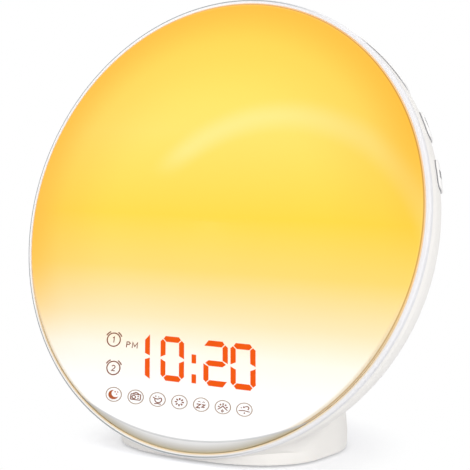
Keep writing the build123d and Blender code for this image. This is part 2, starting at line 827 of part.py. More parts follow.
with BuildPart() as lamp_reflector:
    with BuildSketch(SECTION):
        back = reflector_floor + reflector_wall
        slope = (reflector_floor - land_depth) / (reflector_mouth - reflector_floor_radius)
        thickness_out = reflector_wall * math.tan(math.atan(slope) / 2)
        outline(
            (0, -reflector_floor),
            (reflector_floor_radius, -reflector_floor),
            (reflector_mouth, -land_depth),
            (reflector_radius, -land_depth),
            (reflector_radius, -land_depth - reflector_wall),
            (reflector_mouth + thickness_out, -land_depth - reflector_wall),
            (reflector_floor_radius + thickness_out, -back),
            (0, -back),
        )
    revolve(axis=HEAD_AXIS)
    # bosses: behind the floor for the lamp board, in front of it for the display's ears
    with BuildSketch(lamp_plane.offset(-lamp_board_thickness)):
        with PolarLocations(lamp_screw_circle, lamp_screw_count, start_angle=90):
            Circle(key_boss_radius)
    extrude(amount=-reflector_wall - lamp_screw_grip)
    with BuildSketch(behind(display_back)):
        with Locations(*[(x, ear_level) for x in ear_centres]):
            Circle(ear_boss_radius)
    extrude(amount=-(reflector_floor - display_back))
    # openings for the display, the closing posts and the heat stakes
    with BuildSketch(HEAD):
        display_face(reflector_gap)
        with Locations(*post_places):
            Circle(post_radius + reflector_gap)
        with PolarLocations(stake_circle, stake_count, start_angle=180 / stake_count):
            Circle(stake_radius + stake_fit)
    extrude(amount=-2 * reflector_floor, mode=Mode.SUBTRACT)
    # a slot behind the flange takes the display's tongue
    with BuildSketch(behind(land_depth + reflector_wall)):
        slot_end = display_radius + tongue_reach + reflector_gap
        with Locations((0, (display_bottom - slot_end) / 2)):
            Rectangle(2 * (tongue_half_width + reflector_gap), display_bottom + slot_end)
    extrude(amount=-tongue_thickness - 2 * reflector_gap, mode=Mode.SUBTRACT)
    # pilot holes
    with BuildSketch(lamp_plane):
        with PolarLocations(lamp_screw_circle, lamp_screw_count, start_angle=90):
            Circle(small_screw[0] + screw_fit)
    extrude(amount=-lamp_board_thickness - lamp_screw_grip, mode=Mode.SUBTRACT)
    with BuildSketch(behind(display_back)):
        with Locations(*[(x, ear_level) for x in ear_centres]):
            Circle(small_screw[0] + screw_fit)
    extrude(amount=-(reflector_floor - display_back + reflector_wall / 2), mode=Mode.SUBTRACT)
export(lamp_reflector, "lamp_reflector")

with BuildPart() as lamp_board:
    with BuildSketch(lamp_plane):
        Circle(lamp_radius)
        with PolarLocations(lamp_screw_circle, lamp_screw_count, start_angle=90):
            Circle(small_screw[0] + screw_clearance, mode=Mode.SUBTRACT)
    extrude(amount=-lamp_board_thickness)
export(lamp_board, "lamp_board")

with BuildPart() as lamp_leds:
    with BuildSketch(lamp_plane):
        for ring_radius, ring_count in led_rings:
            with PolarLocations(ring_radius, ring_count):
                Rectangle(led_size, led_size)
    extrude(amount=led_height)
export(lamp_leds, "lamp_leds")

lamp_screw_places = [
    (
        lamp_screw_circle * math.cos(math.radians(90 + step * 360 / lamp_screw_count)),
        lamp_screw_circle * math.sin(math.radians(90 + step * 360 / lamp_screw_count)),
    )
    for step in range(lamp_screw_count)
]
lamp_screw_length = lamp_board_thickness + lamp_screw_grip - screw_tip_gap
screws("lamp_screws", lamp_plane, lamp_screw_places, small_screw, lamp_screw_length)

# ---------------------------------------------------------------- display


def slanted(x, y):
    """A point of the display, leaned to the left with the digits."""
    return (x - (y - digit_level) * math.tan(math.radians(display_slant)), y)


def bar(start, end, stroke):
    """Corners of one bar of a digit, pointed at both ends."""
    length = math.dist(start, end)
    along = ((end[0] - start[0]) / length, (end[1] - start[1]) / length)
    half = stroke / 2
    reach = length - segment_gap
    corners = []
    for distance, aside in (
        (segment_gap, 0),
        (segment_gap + half, half),
        (reach - half, half),
        (reach, 0),
        (reach - half, -half),
        (segment_gap + half, -half),
    ):
        x = start[0] + along[0] * distance - along[1] * aside
        y = start[1] + along[1] * distance + along[0] * aside
        corners.append(slanted(x, y))
    return corners


def digit_bars(centre, letters):
    """Outlines of the named bars of one digit: a on top, then clockwise, g in the middle."""
    half_x = (digit_width - digit_stroke) / 2
    half_y = (digit_height - digit_stroke) / 2
    top, middle, low = digit_level + half_y, digit_level, digit_level - half_y
    left, right = centre - half_x, centre + half_x
    ends = {
        "a": ((left, top), (right, top)),
        "b": ((right, top), (right, middle)),
        "c": ((right, middle), (right, low)),
        "d": ((left, low), (right, low)),
        "e": ((left, middle), (left, low)),
        "f": ((left, top), (left, middle)),
        "g": ((left, middle), (right, middle)),
    }
    return [bar(*ends[letter], digit_stroke) for letter in letters]


colon_dots = []
for side in (-1, 1):
    dot_level = digit_level + side * colon_spread / 2
    left, right = colon_centre - colon_width / 2, colon_centre + colon_width / 2
    low, high = dot_level - colon_height / 2, dot_level + colon_height / 2
    colon_dots.append([slanted(left, low), slanted(right, low), slanted(right, high), slanted(left, high)])
lit_bars = [
    points
    for centre, letters in zip(digit_centres, digit_lit)
    for points in digit_bars(centre, letters)
]
idle_bars = [
    points
    for centre, letters, lit in zip(digit_centres, digit_segments, digit_lit)
    for points in digit_bars(centre, [letter for letter in letters if letter not in lit])
]
icon_places = [slanted(icon_start + step * icon_pitch, icon_level) for step in range(icon_count)]
alarm_places = [
    slanted(alarm_centre, alarm_level + side * alarm_spread / 2) for side in (-1, 1)
]
meridiem_place = slanted(meridiem_centre, meridiem_level)


def guide_shapes(bars, with_icons, grow):
    """Outlines of light guides in the current sketch, grown by a fit."""
    with BuildSketch(mode=Mode.PRIVATE) as shapes:
        for points in bars:
            with BuildLine() as sides:
                Polyline(*points, close=True)
            make_face(sides.edges())
        if with_icons:
            with Locations(*icon_places):
                Circle(icon_radius)
            with Locations(*alarm_places):
                Circle(alarm_radius)
            with Locations(meridiem_place):
                Rectangle(meridiem_width, meridiem_height)
        if grow:
            offset(amount=grow, kind=Kind.INTERSECTION)
    return shapes.sketch


with BuildPart() as display_housing:
    with BuildSketch(behind(display_front)):
        display_face(0)
    extrude(amount=-display_thickness)
    with BuildSketch(behind(display_back)):
        for x in ear_centres:
            with Locations((x, ear_level)):
                Rectangle(ear_width, ear_reach)
    extrude(amount=ear_thickness)
    tongue_front = land_depth + reflector_wall + tongue_fit
    with BuildSketch(behind(tongue_front)):
        tongue_end = display_radius + tongue_reach
        with Locations((0, (display_bottom - tongue_end) / 2)):
            Rectangle(2 * tongue_half_width, display_bottom + tongue_end)
    extrude(amount=-tongue_thickness)
    with BuildSketch(behind(display_front)):
        add(guide_shapes(lit_bars + idle_bars + colon_dots, True, guide_fit))
        with Locations(*[(x, ear_level) for x in ear_centres]):
            Circle(small_screw[0] + screw_clearance)
    extrude(amount=-display_thickness, mode=Mode.SUBTRACT)
export(display_housing, "display_housing")

guide_length = display_thickness - guide_recess
with BuildPart() as segment_light_guides:
    with BuildSketch(behind(display_front)):
        add(guide_shapes(lit_bars + colon_dots, True, 0))
    extrude(amount=-guide_length)
export(segment_light_guides, "segment_light_guides")

with BuildPart() as idle_light_guides:
    with BuildSketch(behind(display_front)):
        add(guide_shapes(idle_bars, False, 0))
    extrude(amount=-guide_length)
export(idle_light_guides, "idle_light_guides")

with BuildPart() as display_mask:
    with BuildSketch(behind(display_front - mask_thickness)):
        display_face(0)
    extrude(amount=-mask_thickness)
export(display_mask, "display_mask")

with BuildPart() as display_board:
    with BuildSketch(behind(display_back)):
        display_face(-display_board_margin)
    extrude(amount=-board_thickness)
export(display_board, "display_board")

with BuildPart() as display_leds:
    with BuildSketch(behind(display_back)):
        for points in lit_bars + idle_bars + colon_dots:
            centre_x = sum(x for x, y in points) / len(points)
            centre_y = sum(y for x, y in points) / len(points)
            with Locations((centre_x, centre_y)):
                Rectangle(display_led_size, display_led_size)
        with Locations(*icon_places, *alarm_places, meridiem_place):
            Rectangle(display_led_size, display_led_size)
    extrude(amount=display_led_height)
export(display_leds, "display_leds")

ear_seat = HEAD.offset(-display_back + ear_thickness)
ear_places = [(x, ear_level) for x in ear_centres]
ear_screw_length = ear_thickness + reflector_floor - display_back
screws("display_screws", ear_seat, ear_places, small_screw, ear_screw_length)

# ---------------------------------------------------------------- main board

with BuildPart() as main_board:
    with BuildSketch(behind(board_depth)):
        with Locations((0, board_rise)):
            RectangleRounded(board_width, board_height, board_corner)
        with Locations(*board_places):
            Circle(small_screw[0] + screw_clearance, mode=Mode.SUBTRACT)
    extrude(amount=-board_thickness)
export(main_board, "main_board")

board_face = HEAD.offset(-board_depth)
with BuildPart() as main_board_chips:
    with BuildSketch(board_face):
        for x, y, width, height in chips:
            with Locations((x, board_rise + y)):
                Rectangle(width, height)
    extrude(amount=chip_height)
export(main_board_chips, "main_board_chips")

with BuildPart() as main_board_capacitors:
    with BuildSketch(board_face):
        with Locations(*[(x, board_rise + y) for x, y in capacitors]):
            Circle(capacitor_radius)
    extrude(amount=capacitor_height)
    chamfer(main_board_capacitors.faces().sort_by(HEAD_AXIS)[-1].edges(), capacitor_round)
export(main_board_capacitors, "main_board_capacitors")

board_screw_length = board_thickness + board_screw_grip - screw_tip_gap
screws("main_board_screws", board_face, board_places, small_screw, board_screw_length)

# ---------------------------------------------------------------- speaker

speaker_back = inner_back - speaker_gasket_thickness
speaker_plane = Plane(
    origin=HEAD.origin - HEAD.y_dir * speaker_drop - HEAD.z_dir * speaker_back,
    x_dir=(1, 0, 0),
    z_dir=HEAD.z_dir,
)
speaker_section = Plane(origin=speaker_plane.origin, x_dir=(1, 0, 0), z_dir=-HEAD.y_dir)
speaker_axis = Axis(speaker_plane.origin, HEAD.z_dir)
magnet_front = speaker_height - magnet_height
hole = speaker_hole_spacing / 2

with BuildPart() as speaker_gasket:
    with BuildSketch(speaker_plane):
        Circle(speaker_mouth + speaker_gasket_width)
        Circle(speaker_mouth, mode=Mode.SUBTRACT)
        with GridLocations(speaker_hole_spacing, speaker_hole_spacing, 2, 2):
            Circle(speaker_boss_radius + screw_clearance, mode=Mode.SUBTRACT)
    extrude(amount=-speaker_gasket_thickness)
export(speaker_gasket, "speaker_gasket")

with BuildPart() as speaker_frame:
    with BuildSketch(speaker_plane):
        RectangleRounded(speaker_size, speaker_size, speaker_corner)
        Circle(speaker_mouth, mode=Mode.SUBTRACT)
        with GridLocations(speaker_hole_spacing, speaker_hole_spacing, 2, 2):
            Circle(small_screw[0] + screw_clearance, mode=Mode.SUBTRACT)
    extrude(amount=speaker_flange)
    with BuildSketch(speaker_section):
        outline(
            (speaker_mouth, speaker_flange),
            (speaker_mouth + speaker_wall, speaker_flange),
            (magnet_radius + speaker_wall, magnet_front),
            (0, magnet_front),
            (0, magnet_front - speaker_wall),
            (magnet_radius, magnet_front - speaker_wall),
        )
    revolve(axis=speaker_axis)
    # windows in the basket let the air behind the cone move
    with BuildSketch(speaker_plane.offset(speaker_flange)):
        with PolarLocations(window_circle, 4):
            Rectangle(*basket_window)
    extrude(amount=magnet_front - speaker_flange - 1.5 * speaker_wall, mode=Mode.SUBTRACT)
export(speaker_frame, "speaker_frame")

with BuildPart() as speaker_magnet:
    with BuildSketch(speaker_plane.offset(magnet_front)):
        Circle(magnet_radius)
    extrude(amount=magnet_height)
    chamfer(speaker_magnet.faces().sort_by(speaker_axis)[-1].edges(), magnet_round)
export(speaker_magnet, "speaker_magnet")

with BuildPart() as speaker_cone:
    with BuildSketch(speaker_section):
        rim_height = speaker_flange / 2
        outline(
            (speaker_mouth, rim_height),
            (speaker_mouth, rim_height + cone_thickness),
            (speaker_mouth - surround_width, rim_height + cone_thickness),
            (magnet_radius / 2, cone_depth),
            (0, cone_depth),
            (0, cone_depth - cone_thickness),
            (magnet_radius / 2, cone_depth - cone_thickness),
            (speaker_mouth - surround_width, rim_height),
        )
    revolve(axis=speaker_axis)
export(speaker_cone, "speaker_cone")

flange_seat = speaker_plane.offset(speaker_flange)
speaker_corners = [(side * hole, end * hole) for side in (-1, 1) for end in (-1, 1)]
speaker_screw_length = speaker_flange + speaker_screw_grip - screw_tip_gap
screws("speaker_screws", flange_seat, speaker_corners, small_screw, speaker_screw_length)

# ---------------------------------------------------------------- heel

with BuildPart() as power_socket:
    width, length, height = socket_body
    with BuildSketch(heel_plane):
        with Locations(socket_place):
            Rectangle(width, height)
    extrude(amount=-length)
    with BuildSketch(heel_plane):
        with Locations(socket_place):
            Circle(socket_radius)
    extrude(amount=socket_nose)
    with BuildSketch(heel_plane.offset(socket_nose)):
        with Locations(socket_place):
            Circle(socket_bore_radius)
    extrude(amount=-socket_bore_depth, mode=Mode.SUBTRACT)
    with BuildSketch(heel_plane.offset(socket_nose - socket_bore_depth)):
        with Locations(socket_place):
            Circle(socket_pin_radius)
    extrude(amount=socket_bore_depth - socket_pin_inset)
export(power_socket, "power_socket")

with BuildPart() as aerial_bushing:
    with BuildSketch(heel_plane):
        with Locations(aerial_place):
            Circle(aerial_radius)
    extrude(amount=heel_face - heel_seat)
    with BuildSketch(heel_plane.offset(heel_face - heel_seat)):
        with Locations(aerial_place):
            Circle(aerial_radius + spot_margin - socket_fit)
    extrude(amount=aerial_flange)
    chamfer(aerial_bushing.faces().sort_by(Axis.Y)[-1].edges(), aerial_round)
    with BuildSketch(heel_plane):
        with Locations(aerial_place):
            Circle(aerial_bore)
    extrude(amount=foot_half_depth, mode=Mode.SUBTRACT)
export(aerial_bushing, "aerial_bushing")

# ---------------------------------------------------------------- base

bore_radius = cell_radius + cell_fit
groove_radius = bore_radius + lug_reach + cover_clearance
recess_depth = cover_thickness + 2 * cover_gap
ring_top = base_level
lug_bottom = ring_top + lug_gap
cell_seat = lug_bottom + lug_thickness
cell_top = cell_seat + cell_gap + cell_thickness
cup_top = cell_top + contact_thickness + cup_roof
feet = [(side * x, y + foot_centre) for side in (-1, 1) for x, y in feet_places]


def cell_plane(height):
    """Horizontal plane at a height, centred on the coin cell."""
    return Plane(origin=(0, foot_centre + cell_y, height), x_dir=(1, 0, 0), z_dir=(0, 0, 1))


with BuildPart() as base_plate:
    plate_outline = foot_section(
        foot_levels[0], wall + base_gap, base_front_inset + base_gap, wall + base_gap
    )
    extrude(plate_outline.sketch, amount=base_thickness)
    with BuildSketch(cell_plane(base_level)):
        Circle(bore_radius + cup_wall)
    extrude(amount=cup_top - base_level)
    # recess for the cover, bore for the cell, and the groove that its lugs turn in
    with BuildSketch(cell_plane(foot_clearance)):
        Circle(cover_radius + cover_clearance)
    extrude(amount=recess_depth, mode=Mode.SUBTRACT)
    with BuildSketch(cell_plane(foot_clearance)):
        Circle(bore_radius)
    extrude(amount=cup_top - cup_roof - foot_clearance, mode=Mode.SUBTRACT)
    with BuildSketch(cell_plane(ring_top)):
        Circle(groove_radius)
    extrude(amount=lug_thickness + 2 * lug_gap, mode=Mode.SUBTRACT)
    with BuildSketch(cell_plane(foot_clearance)):
        Circle(groove_radius)
        entry_width = lug_width + 2 * cover_clearance
        Rectangle(2 * groove_radius, entry_width, rotation=cover_turn, mode=Mode.INTERSECT)
    extrude(amount=base_thickness, mode=Mode.SUBTRACT)
    # a pocket in the cup's wall for the side contact
    with BuildSketch(cell_plane(cell_seat)):
        with Locations((bore_radius, 0)):
            Rectangle(2 * contact_thickness + cell_fit, contact_width + 2 * cell_gap)
    extrude(amount=cell_top - cell_seat, mode=Mode.SUBTRACT)
    # screws and rubber feet
    with BuildSketch(Plane.XY.offset(foot_clearance)):
        with Locations(*base_places):
            Circle(large_screw[0] + screw_clearance)
    extrude(amount=base_thickness, mode=Mode.SUBTRACT)
    with BuildSketch(Plane.XY.offset(foot_clearance)):
        with Locations(*base_places):
            Circle(large_screw[1] + screw_clearance)
        with Locations(*feet):
            Circle(rubber_radius)
    extrude(amount=rubber_recess, mode=Mode.SUBTRACT)
export(base_plate, "base_plate")

with BuildPart() as rubber_feet:
    with BuildSketch(Plane.XY):
        with Locations(*feet):
            Circle(rubber_radius)
    extrude(amount=foot_clearance + rubber_recess)
    chamfer(rubber_feet.faces().group_by(Axis.Z)[0].edges(), rubber_round)
export(rubber_feet, "rubber_feet")

screws(
    "base_screws",
    Plane(origin=(0, 0, foot_clearance + rubber_recess), x_dir=(1, 0, 0), z_dir=(0, 0, -1)),
    [(x, -y) for x, y in base_places],
    (large_screw[0], large_screw[1], foot_clearance),
    base_thickness - rubber_recess + base_screw_length - 2 * screw_tip_gap,
)

with BuildPart() as battery_cover:
    with BuildSketch(cell_plane(foot_clearance + cover_gap)):
        Circle(cover_radius)
    extrude(amount=cover_thickness)
    with BuildSketch(cell_plane(foot_clearance + cover_gap)):
        Circle(bore_radius - cover_clearance)
    extrude(amount=cell_seat - foot_clearance - cover_gap)
    with BuildSketch(cell_plane(lug_bottom)):
        Circle(bore_radius + lug_reach)
        Rectangle(2 * groove_radius, lug_width, mode=Mode.INTERSECT)
    extrude(amount=lug_thickness)
    with BuildSketch(cell_plane(foot_clearance + cover_gap)):
        SlotOverall(*coin_slot)
    extrude(amount=cover_thickness / 2, mode=Mode.SUBTRACT)
export(battery_cover, "battery_cover")

with BuildPart() as coin_cell:
    with BuildSketch(cell_plane(cell_seat + cell_gap)):
        Circle(cell_radius)
    extrude(amount=cell_thickness)
    fillet(coin_cell.faces().sort_by(Axis.Z)[-1].edges(), cell_round)
export(coin_cell, "coin_cell")

with BuildPart() as cell_contacts:
    with BuildSketch(cell_plane(cell_top)):
        Rectangle(contact_width, 2 * cell_radius - contact_width)
    extrude(amount=contact_thickness)
    with BuildSketch(cell_plane(cell_seat + cell_gap)):
        with Locations((cell_radius + cell_gap + contact_thickness / 2, 0)):
            Rectangle(contact_thickness, contact_width)
    extrude(amount=cell_thickness - cell_gap)
export(cell_contacts, "cell_contacts")
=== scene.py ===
# %% [markdown]
# # Dressing a sunrise alarm clock
# The clock is a round lamp that leans back on a moulded foot. Its solids come
# from the CAD frame. This script gives each of them its finish, adds what only
# shows on a surface, such as the lit digits, and lights the whole plainly.

# %% Load the frame
import bmesh
import bpy
import math
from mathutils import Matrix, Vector
from mathutils.bvhtree import BVHTree


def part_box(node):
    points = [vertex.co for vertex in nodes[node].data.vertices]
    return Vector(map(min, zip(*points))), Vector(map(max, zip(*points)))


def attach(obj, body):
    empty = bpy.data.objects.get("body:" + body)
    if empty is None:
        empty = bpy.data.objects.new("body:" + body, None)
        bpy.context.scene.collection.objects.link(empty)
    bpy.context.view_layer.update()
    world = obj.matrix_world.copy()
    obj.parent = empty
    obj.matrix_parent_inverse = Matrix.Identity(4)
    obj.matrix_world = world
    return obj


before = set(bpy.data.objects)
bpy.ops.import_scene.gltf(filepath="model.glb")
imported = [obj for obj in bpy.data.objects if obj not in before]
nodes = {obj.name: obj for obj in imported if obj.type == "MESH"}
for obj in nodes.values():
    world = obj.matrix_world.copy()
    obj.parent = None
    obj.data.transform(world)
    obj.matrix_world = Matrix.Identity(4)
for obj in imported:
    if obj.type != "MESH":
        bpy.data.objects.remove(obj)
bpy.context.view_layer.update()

# %% [markdown]
# The lamp's face leans back, so its own directions are needed again and again:
# across it, up it, and out of it. Lengths on the face are easier to think of in
# millimetres, and Blender works in metres, so one function turns a place on the
# face into a point of the scene.

# %% Directions of the face
MM = 0.001
LEAN = math.radians(15)
FACE_ACROSS = Vector((1, 0, 0))
FACE_UP = Vector((0, math.sin(LEAN), math.cos(LEAN)))
FACE_OUT = Vector((0, -math.cos(LEAN), math.sin(LEAN)))
FACE_CENTRE = Vector((0, -15.3, 83.9)) * MM
LENS_RADIUS = 82.95


def face_point(across, up, out=0.0):
    """A point given in the face's own directions, in millimetres."""
    return FACE_CENTRE + (FACE_ACROSS * across + FACE_UP * up + FACE_OUT * out) * MM


print("top of the lens", [round(v, 4) for v in face_point(0, LENS_RADIUS)])

# %% [markdown]
# ## Camera
# It looks from the right and a little from above, half a metre away. A long
# lens keeps the circle of the face calm. The picture is square, so the lens is
# worked out for the picture's width.

# %% Camera
CAMERA_TURN = math.radians(31.3)
CAMERA_RISE = math.radians(5)
CAMERA_DISTANCE = 0.5
CAMERA_AIM = FACE_CENTRE + Vector((9.35, 0, -4.0)) * MM
LENS_PER_WIDTH = 1386 / 470

toward_camera = Vector((
    math.sin(CAMERA_TURN) * math.cos(CAMERA_RISE),
    -math.cos(CAMERA_TURN) * math.cos(CAMERA_RISE),
    math.sin(CAMERA_RISE),
))
camera_data = bpy.data.cameras.new("camera")
camera_data.lens = LENS_PER_WIDTH * camera_data.sensor_width
camera_data.clip_start = 0.01
camera_data.clip_end = 20
camera = bpy.data.objects.new("camera", camera_data)
camera.location = CAMERA_AIM + toward_camera * CAMERA_DISTANCE
camera.rotation_euler = toward_camera.to_track_quat("Z", "Y").to_euler()
bpy.context.scene.collection.objects.link(camera)
bpy.context.scene.camera = camera
print("camera at", [round(v, 3) for v in camera.location], "lens", round(camera_data.lens, 1))

# %% [markdown]
# ## Colours and nodes
# Colours are written the way a designer writes them, as sRGB hex. Shaders work
# in linear light, so one function turns them round. A second function adds a
# node: it sets the node's own settings, links or fills its inputs, and places
# the stops if the node is a colour ramp. Two settings come back often, so they
# get names: a map range that eases in and out, and a mix node for colours. Such
# a mix has its colours at sockets 6 and 7, and its result at output 2.

# %% Colours and nodes
SMOOTH = {"interpolation_type": "SMOOTHSTEP"}
MIX_COLOURS = {"data_type": "RGBA"}


def linear(hex_colour):
    """An sRGB hex colour as linear red, green, blue and alpha."""
    channels = [int(hex_colour[i:i + 2], 16) / 255 for i in (0, 2, 4)]
    return tuple(c / 12.92 if c <= 0.04045 else ((c + 0.055) / 1.055) ** 2.4 for c in channels) + (1.0,)


def add_node(tree, kind, settings=None, inputs=None, stops=None):
    """Adds a node with its settings and its inputs; a socket given as an input is linked."""
    node = tree.nodes.new(kind)
    for name, value in (settings or {}).items():
        setattr(node, name, value)
    for name, value in (inputs or {}).items():
        if isinstance(value, bpy.types.NodeSocket):
            tree.links.new(value, node.inputs[name])
        else:
            node.inputs[name].default_value = value
    if stops:
        elements = node.color_ramp.elements
        elements.remove(elements[1])
        elements[0].position, elements[0].color = stops[0]
        for position, colour in stops[1:]:
            elements.new(position).color = colour
    return node


def new_material(name, settings):
    """A material with one shader. Values that are the same all over are set on its sockets."""
    material = bpy.data.materials.new(name)
    material.use_nodes = True
    tree = material.node_tree
    tree.nodes.clear()
    shader = add_node(tree, "ShaderNodeBsdfPrincipled", inputs=settings)
    add_node(tree, "ShaderNodeOutputMaterial", inputs={"Surface": shader.outputs["BSDF"]})
    return material, tree, shader


dressed = set()


def dress(material, *names):
    """Gives CAD nodes their finish."""
    for name in names:
        mesh = nodes[name].data
        mesh.materials.clear()
        mesh.materials.append(material)
        dressed.add(name)
    print(material.name, "on", ", ".join(names))


print("mid grey in linear light", round(linear("808080")[0], 3))

# %% [markdown]
# ## Moulded plastic
# The housing is ABS, and it comes out of a steel mould whose walls were spark
# eroded. That leaves an even, fine grain that breaks up every reflection. The
# real grain is about 0.2 mm across, too fine to see here, so it is drawn at
# 0.5 mm. Fine noise drives both the bump and the roughness. A second, slow
# noise lets the colour drift by a percent or so, as it does where the melt
# cooled at different speeds.

# %% A moulded plastic
DRIFT_MM = 40


def moulded_plastic(name, colour, drifted, roughness, grain_mm, grain_depth_mm, ior=1.53):
    """Plastic from a textured mould: its two close colours, gloss, and grain size and depth."""
    material, tree, shader = new_material(name, {"IOR": ior})
    place = add_node(tree, "ShaderNodeTexCoord").outputs["Object"]
    drift = add_node(tree, "ShaderNodeTexNoise", inputs={
        "Vector": place, "Scale": 1 / (DRIFT_MM * MM), "Detail": 2.0})
    tint = add_node(tree, "ShaderNodeMix", MIX_COLOURS, {
        0: drift.outputs["Fac"], 6: linear(colour), 7: linear(drifted)})
    grain = add_node(tree, "ShaderNodeTexNoise", inputs={
        "Vector": place, "Scale": 1 / (grain_mm * MM), "Detail": 3.0, "Roughness": 0.6})
    bump = add_node(tree, "ShaderNodeBump", inputs={
        "Height": grain.outputs["Fac"], "Strength": 1.0, "Distance": grain_depth_mm * MM})
    gloss = add_node(tree, "ShaderNodeMapRange", inputs={
        "Value": grain.outputs["Fac"], "From Min": 0.3, "From Max": 0.7,
        "To Min": roughness - 0.04, "To Max": roughness + 0.06})
    tree.links.new(tint.outputs[2], shader.inputs["Base Color"])
    tree.links.new(gloss.outputs["Result"], shader.inputs["Roughness"])
    tree.links.new(bump.outputs["Normal"], shader.inputs["Normal"])
    return material


housing_abs = moulded_plastic("spark_eroded_white_abs", "f6f3ef", "f1eee9", 0.46, 0.5, 0.006)
base_abs = moulded_plastic("base_white_abs", "eeeae5", "e8e4de", 0.5, 0.6, 0.008)
dress(housing_abs, "housing_shell")
dress(base_abs, "base_plate", "battery_cover")

# %% [markdown]
# ## A place on the face, inside a material
# The lamp's glow changes up the face and towards its rim. A Mapping node set to
# Texture turns the object's coordinates into the face's own: it undoes a move
# to the face's centre, a turn, and a scale. What comes out is across, up and
# out in millimetres. Dropping the last and taking the length gives the radius.

# %% Face coordinates


def face_place(tree):
    """The socket of a place in the face's own directions, in millimetres."""
    place = add_node(tree, "ShaderNodeTexCoord").outputs["Object"]
    return add_node(tree, "ShaderNodeMapping", {"vector_type": "TEXTURE"}, {
        "Vector": place, "Location": FACE_CENTRE, "Rotation": (math.pi / 2 - LEAN, 0, 0),
        "Scale": (MM, MM, MM)}).outputs["Vector"]


def face_coordinates(tree):
    """Three sockets: the place across and up the face, its height alone, and its radius."""
    flat = add_node(tree, "ShaderNodeVectorMath", {"operation": "MULTIPLY"}, {
        0: face_place(tree), 1: (1, 1, 0)}).outputs["Vector"]
    up = add_node(tree, "ShaderNodeSeparateXYZ", inputs={"Vector": flat}).outputs["Y"]
    radius = add_node(tree, "ShaderNodeVectorMath", {"operation": "LENGTH"}, {0: flat}).outputs["Value"]
    return flat, up, radius


print("the face leans by degrees", round(math.degrees(LEAN), 1))

# %% [markdown]
# ## Keys
# The keys are ABS too, from a mould with a finer stone finish, and a touch
# brighter than the housing. A narrow gap runs round each key, and little light
# gets into it. Renders with few samples lose such a gap, so the part of a key
# that lies inside the housing's surface is painted grey as shade, up to just
# above it. The housing is half an ellipsoid, so its surface is where the place,
# divided by the ellipsoid's half axes, has the length one.

# %% Satin keys
BOWL_HALF_AXES = (84.7, 84.7, 44.5)
BOWL_START = 5.0
GAP_END = 1.007
GAP_SHADE = linear("84858c")


def repaint(material):
    """The tree and shader of a finished material, and the socket that colours it."""
    tree = material.node_tree
    shader = next(node for node in tree.nodes if node.type == "BSDF_PRINCIPLED")
    return tree, shader, shader.inputs["Base Color"].links[0].from_socket


key_names = [name for name in nodes if name.endswith("_key")] + ["snooze_bar"]
key_abs = moulded_plastic("satin_white_key_abs", "f9f8f6", "f5f3f1", 0.36, 0.4, 0.003)
tree, shader, plain = repaint(key_abs)
from_bowl = add_node(tree, "ShaderNodeVectorMath", {"operation": "ADD"}, {
    0: face_place(tree), 1: (0, 0, BOWL_START)}).outputs["Vector"]
in_bowl = add_node(tree, "ShaderNodeVectorMath", {"operation": "DIVIDE"}, {
    0: from_bowl, 1: BOWL_HALF_AXES}).outputs["Vector"]
bowl_share = add_node(tree, "ShaderNodeVectorMath", {"operation": "LENGTH"}, {
    0: in_bowl}).outputs["Value"]
# Painted shade: a key turns grey where it sinks below the housing's surface.
in_gap = add_node(tree, "ShaderNodeMapRange", SMOOTH, {
    "Value": bowl_share, "From Min": 1.0, "From Max": GAP_END, "To Min": 1.0, "To Max": 0.0})
gap_shaded = add_node(tree, "ShaderNodeMix", MIX_COLOURS, {0: in_gap.outputs["Result"], 6: plain, 7: GAP_SHADE})
tree.links.new(gap_shaded.outputs[2], shader.inputs["Base Color"])
dress(key_abs, *key_names)

# %% [markdown]
# ## The opal lens
# The face is opal acrylic: clear plastic with a white filler that scatters the
# light of the LEDs behind it. It could be built as a real volume with lamps
# inside, but that is slow and noisy. Here the surface itself glows, and a
# colour ramp says how, in seven colours. Below the display no LED sits, so the
# plastic shows its own white. A little light spills down as cream and pale
# amber. The lowest LEDs give the deepest yellow, the crowd of LEDs above them a
# brighter one, and near the top edge it turns to gold.

# %% Opal acrylic, lit up its height
GLOW_REACH = 84.0
GLOW_COLUMN = [(-64, "fdfdfd"), (-48, "fff7e8"), (-36, "ffe8b8"), (-18, "ffda70"),
               (2, "ffd840"), (34, "ffe268"), (76, "ffe455")]

opal, tree, shader = new_material("opal_acrylic", {
    "IOR": 1.49, "Roughness": 0.42, "Specular IOR Level": 0.3, "Emission Strength": 1.0})
flat, up, radius = face_coordinates(tree)
height_share = add_node(tree, "ShaderNodeMapRange", inputs={
    "Value": up, "From Min": -GLOW_REACH, "From Max": GLOW_REACH})
glow_stops = [((up_mm + GLOW_REACH) / (2 * GLOW_REACH), linear(colour)) for up_mm, colour in GLOW_COLUMN]
glow = add_node(tree, "ShaderNodeValToRGB", inputs={
    "Fac": height_share.outputs["Result"]}, stops=glow_stops).outputs["Color"]
print("glow stops", len(glow_stops))

# %% [markdown]
# A faint pale arc across the upper right is the reflector's edge shining
# through. Thin lines that follow a circle come back on the rim, the chin and
# the ring, so one helper works out where such a line is painted: fully near
# its middle, and not at all beyond its half width.

# %% The reflector's arc
ARC_COLOUR = linear("fff09c")
ARC_CENTRE = (26.0, -26.9, 0.0)
ARC_RADIUS = 66.7
ARC_HALF_WIDTH = 7.5
ARC_STRENGTH = 0.5
UP_AND_RIGHT = (0.25, 1.0, 0.0)


def painted_line(tree, distance, middle, full_to, gone_at, strength):
    """How much paint lies on a line that runs where the distance has the middle value."""
    offset = add_node(tree, "ShaderNodeMath", {"operation": "SUBTRACT"}, {0: distance, 1: middle})
    offset = add_node(tree, "ShaderNodeMath", {"operation": "ABSOLUTE"}, {0: offset.outputs[0]})
    return add_node(tree, "ShaderNodeMapRange", SMOOTH, {
        "Value": offset.outputs[0], "From Min": full_to, "From Max": gone_at,
        "To Min": strength, "To Max": 0.0}).outputs["Result"]


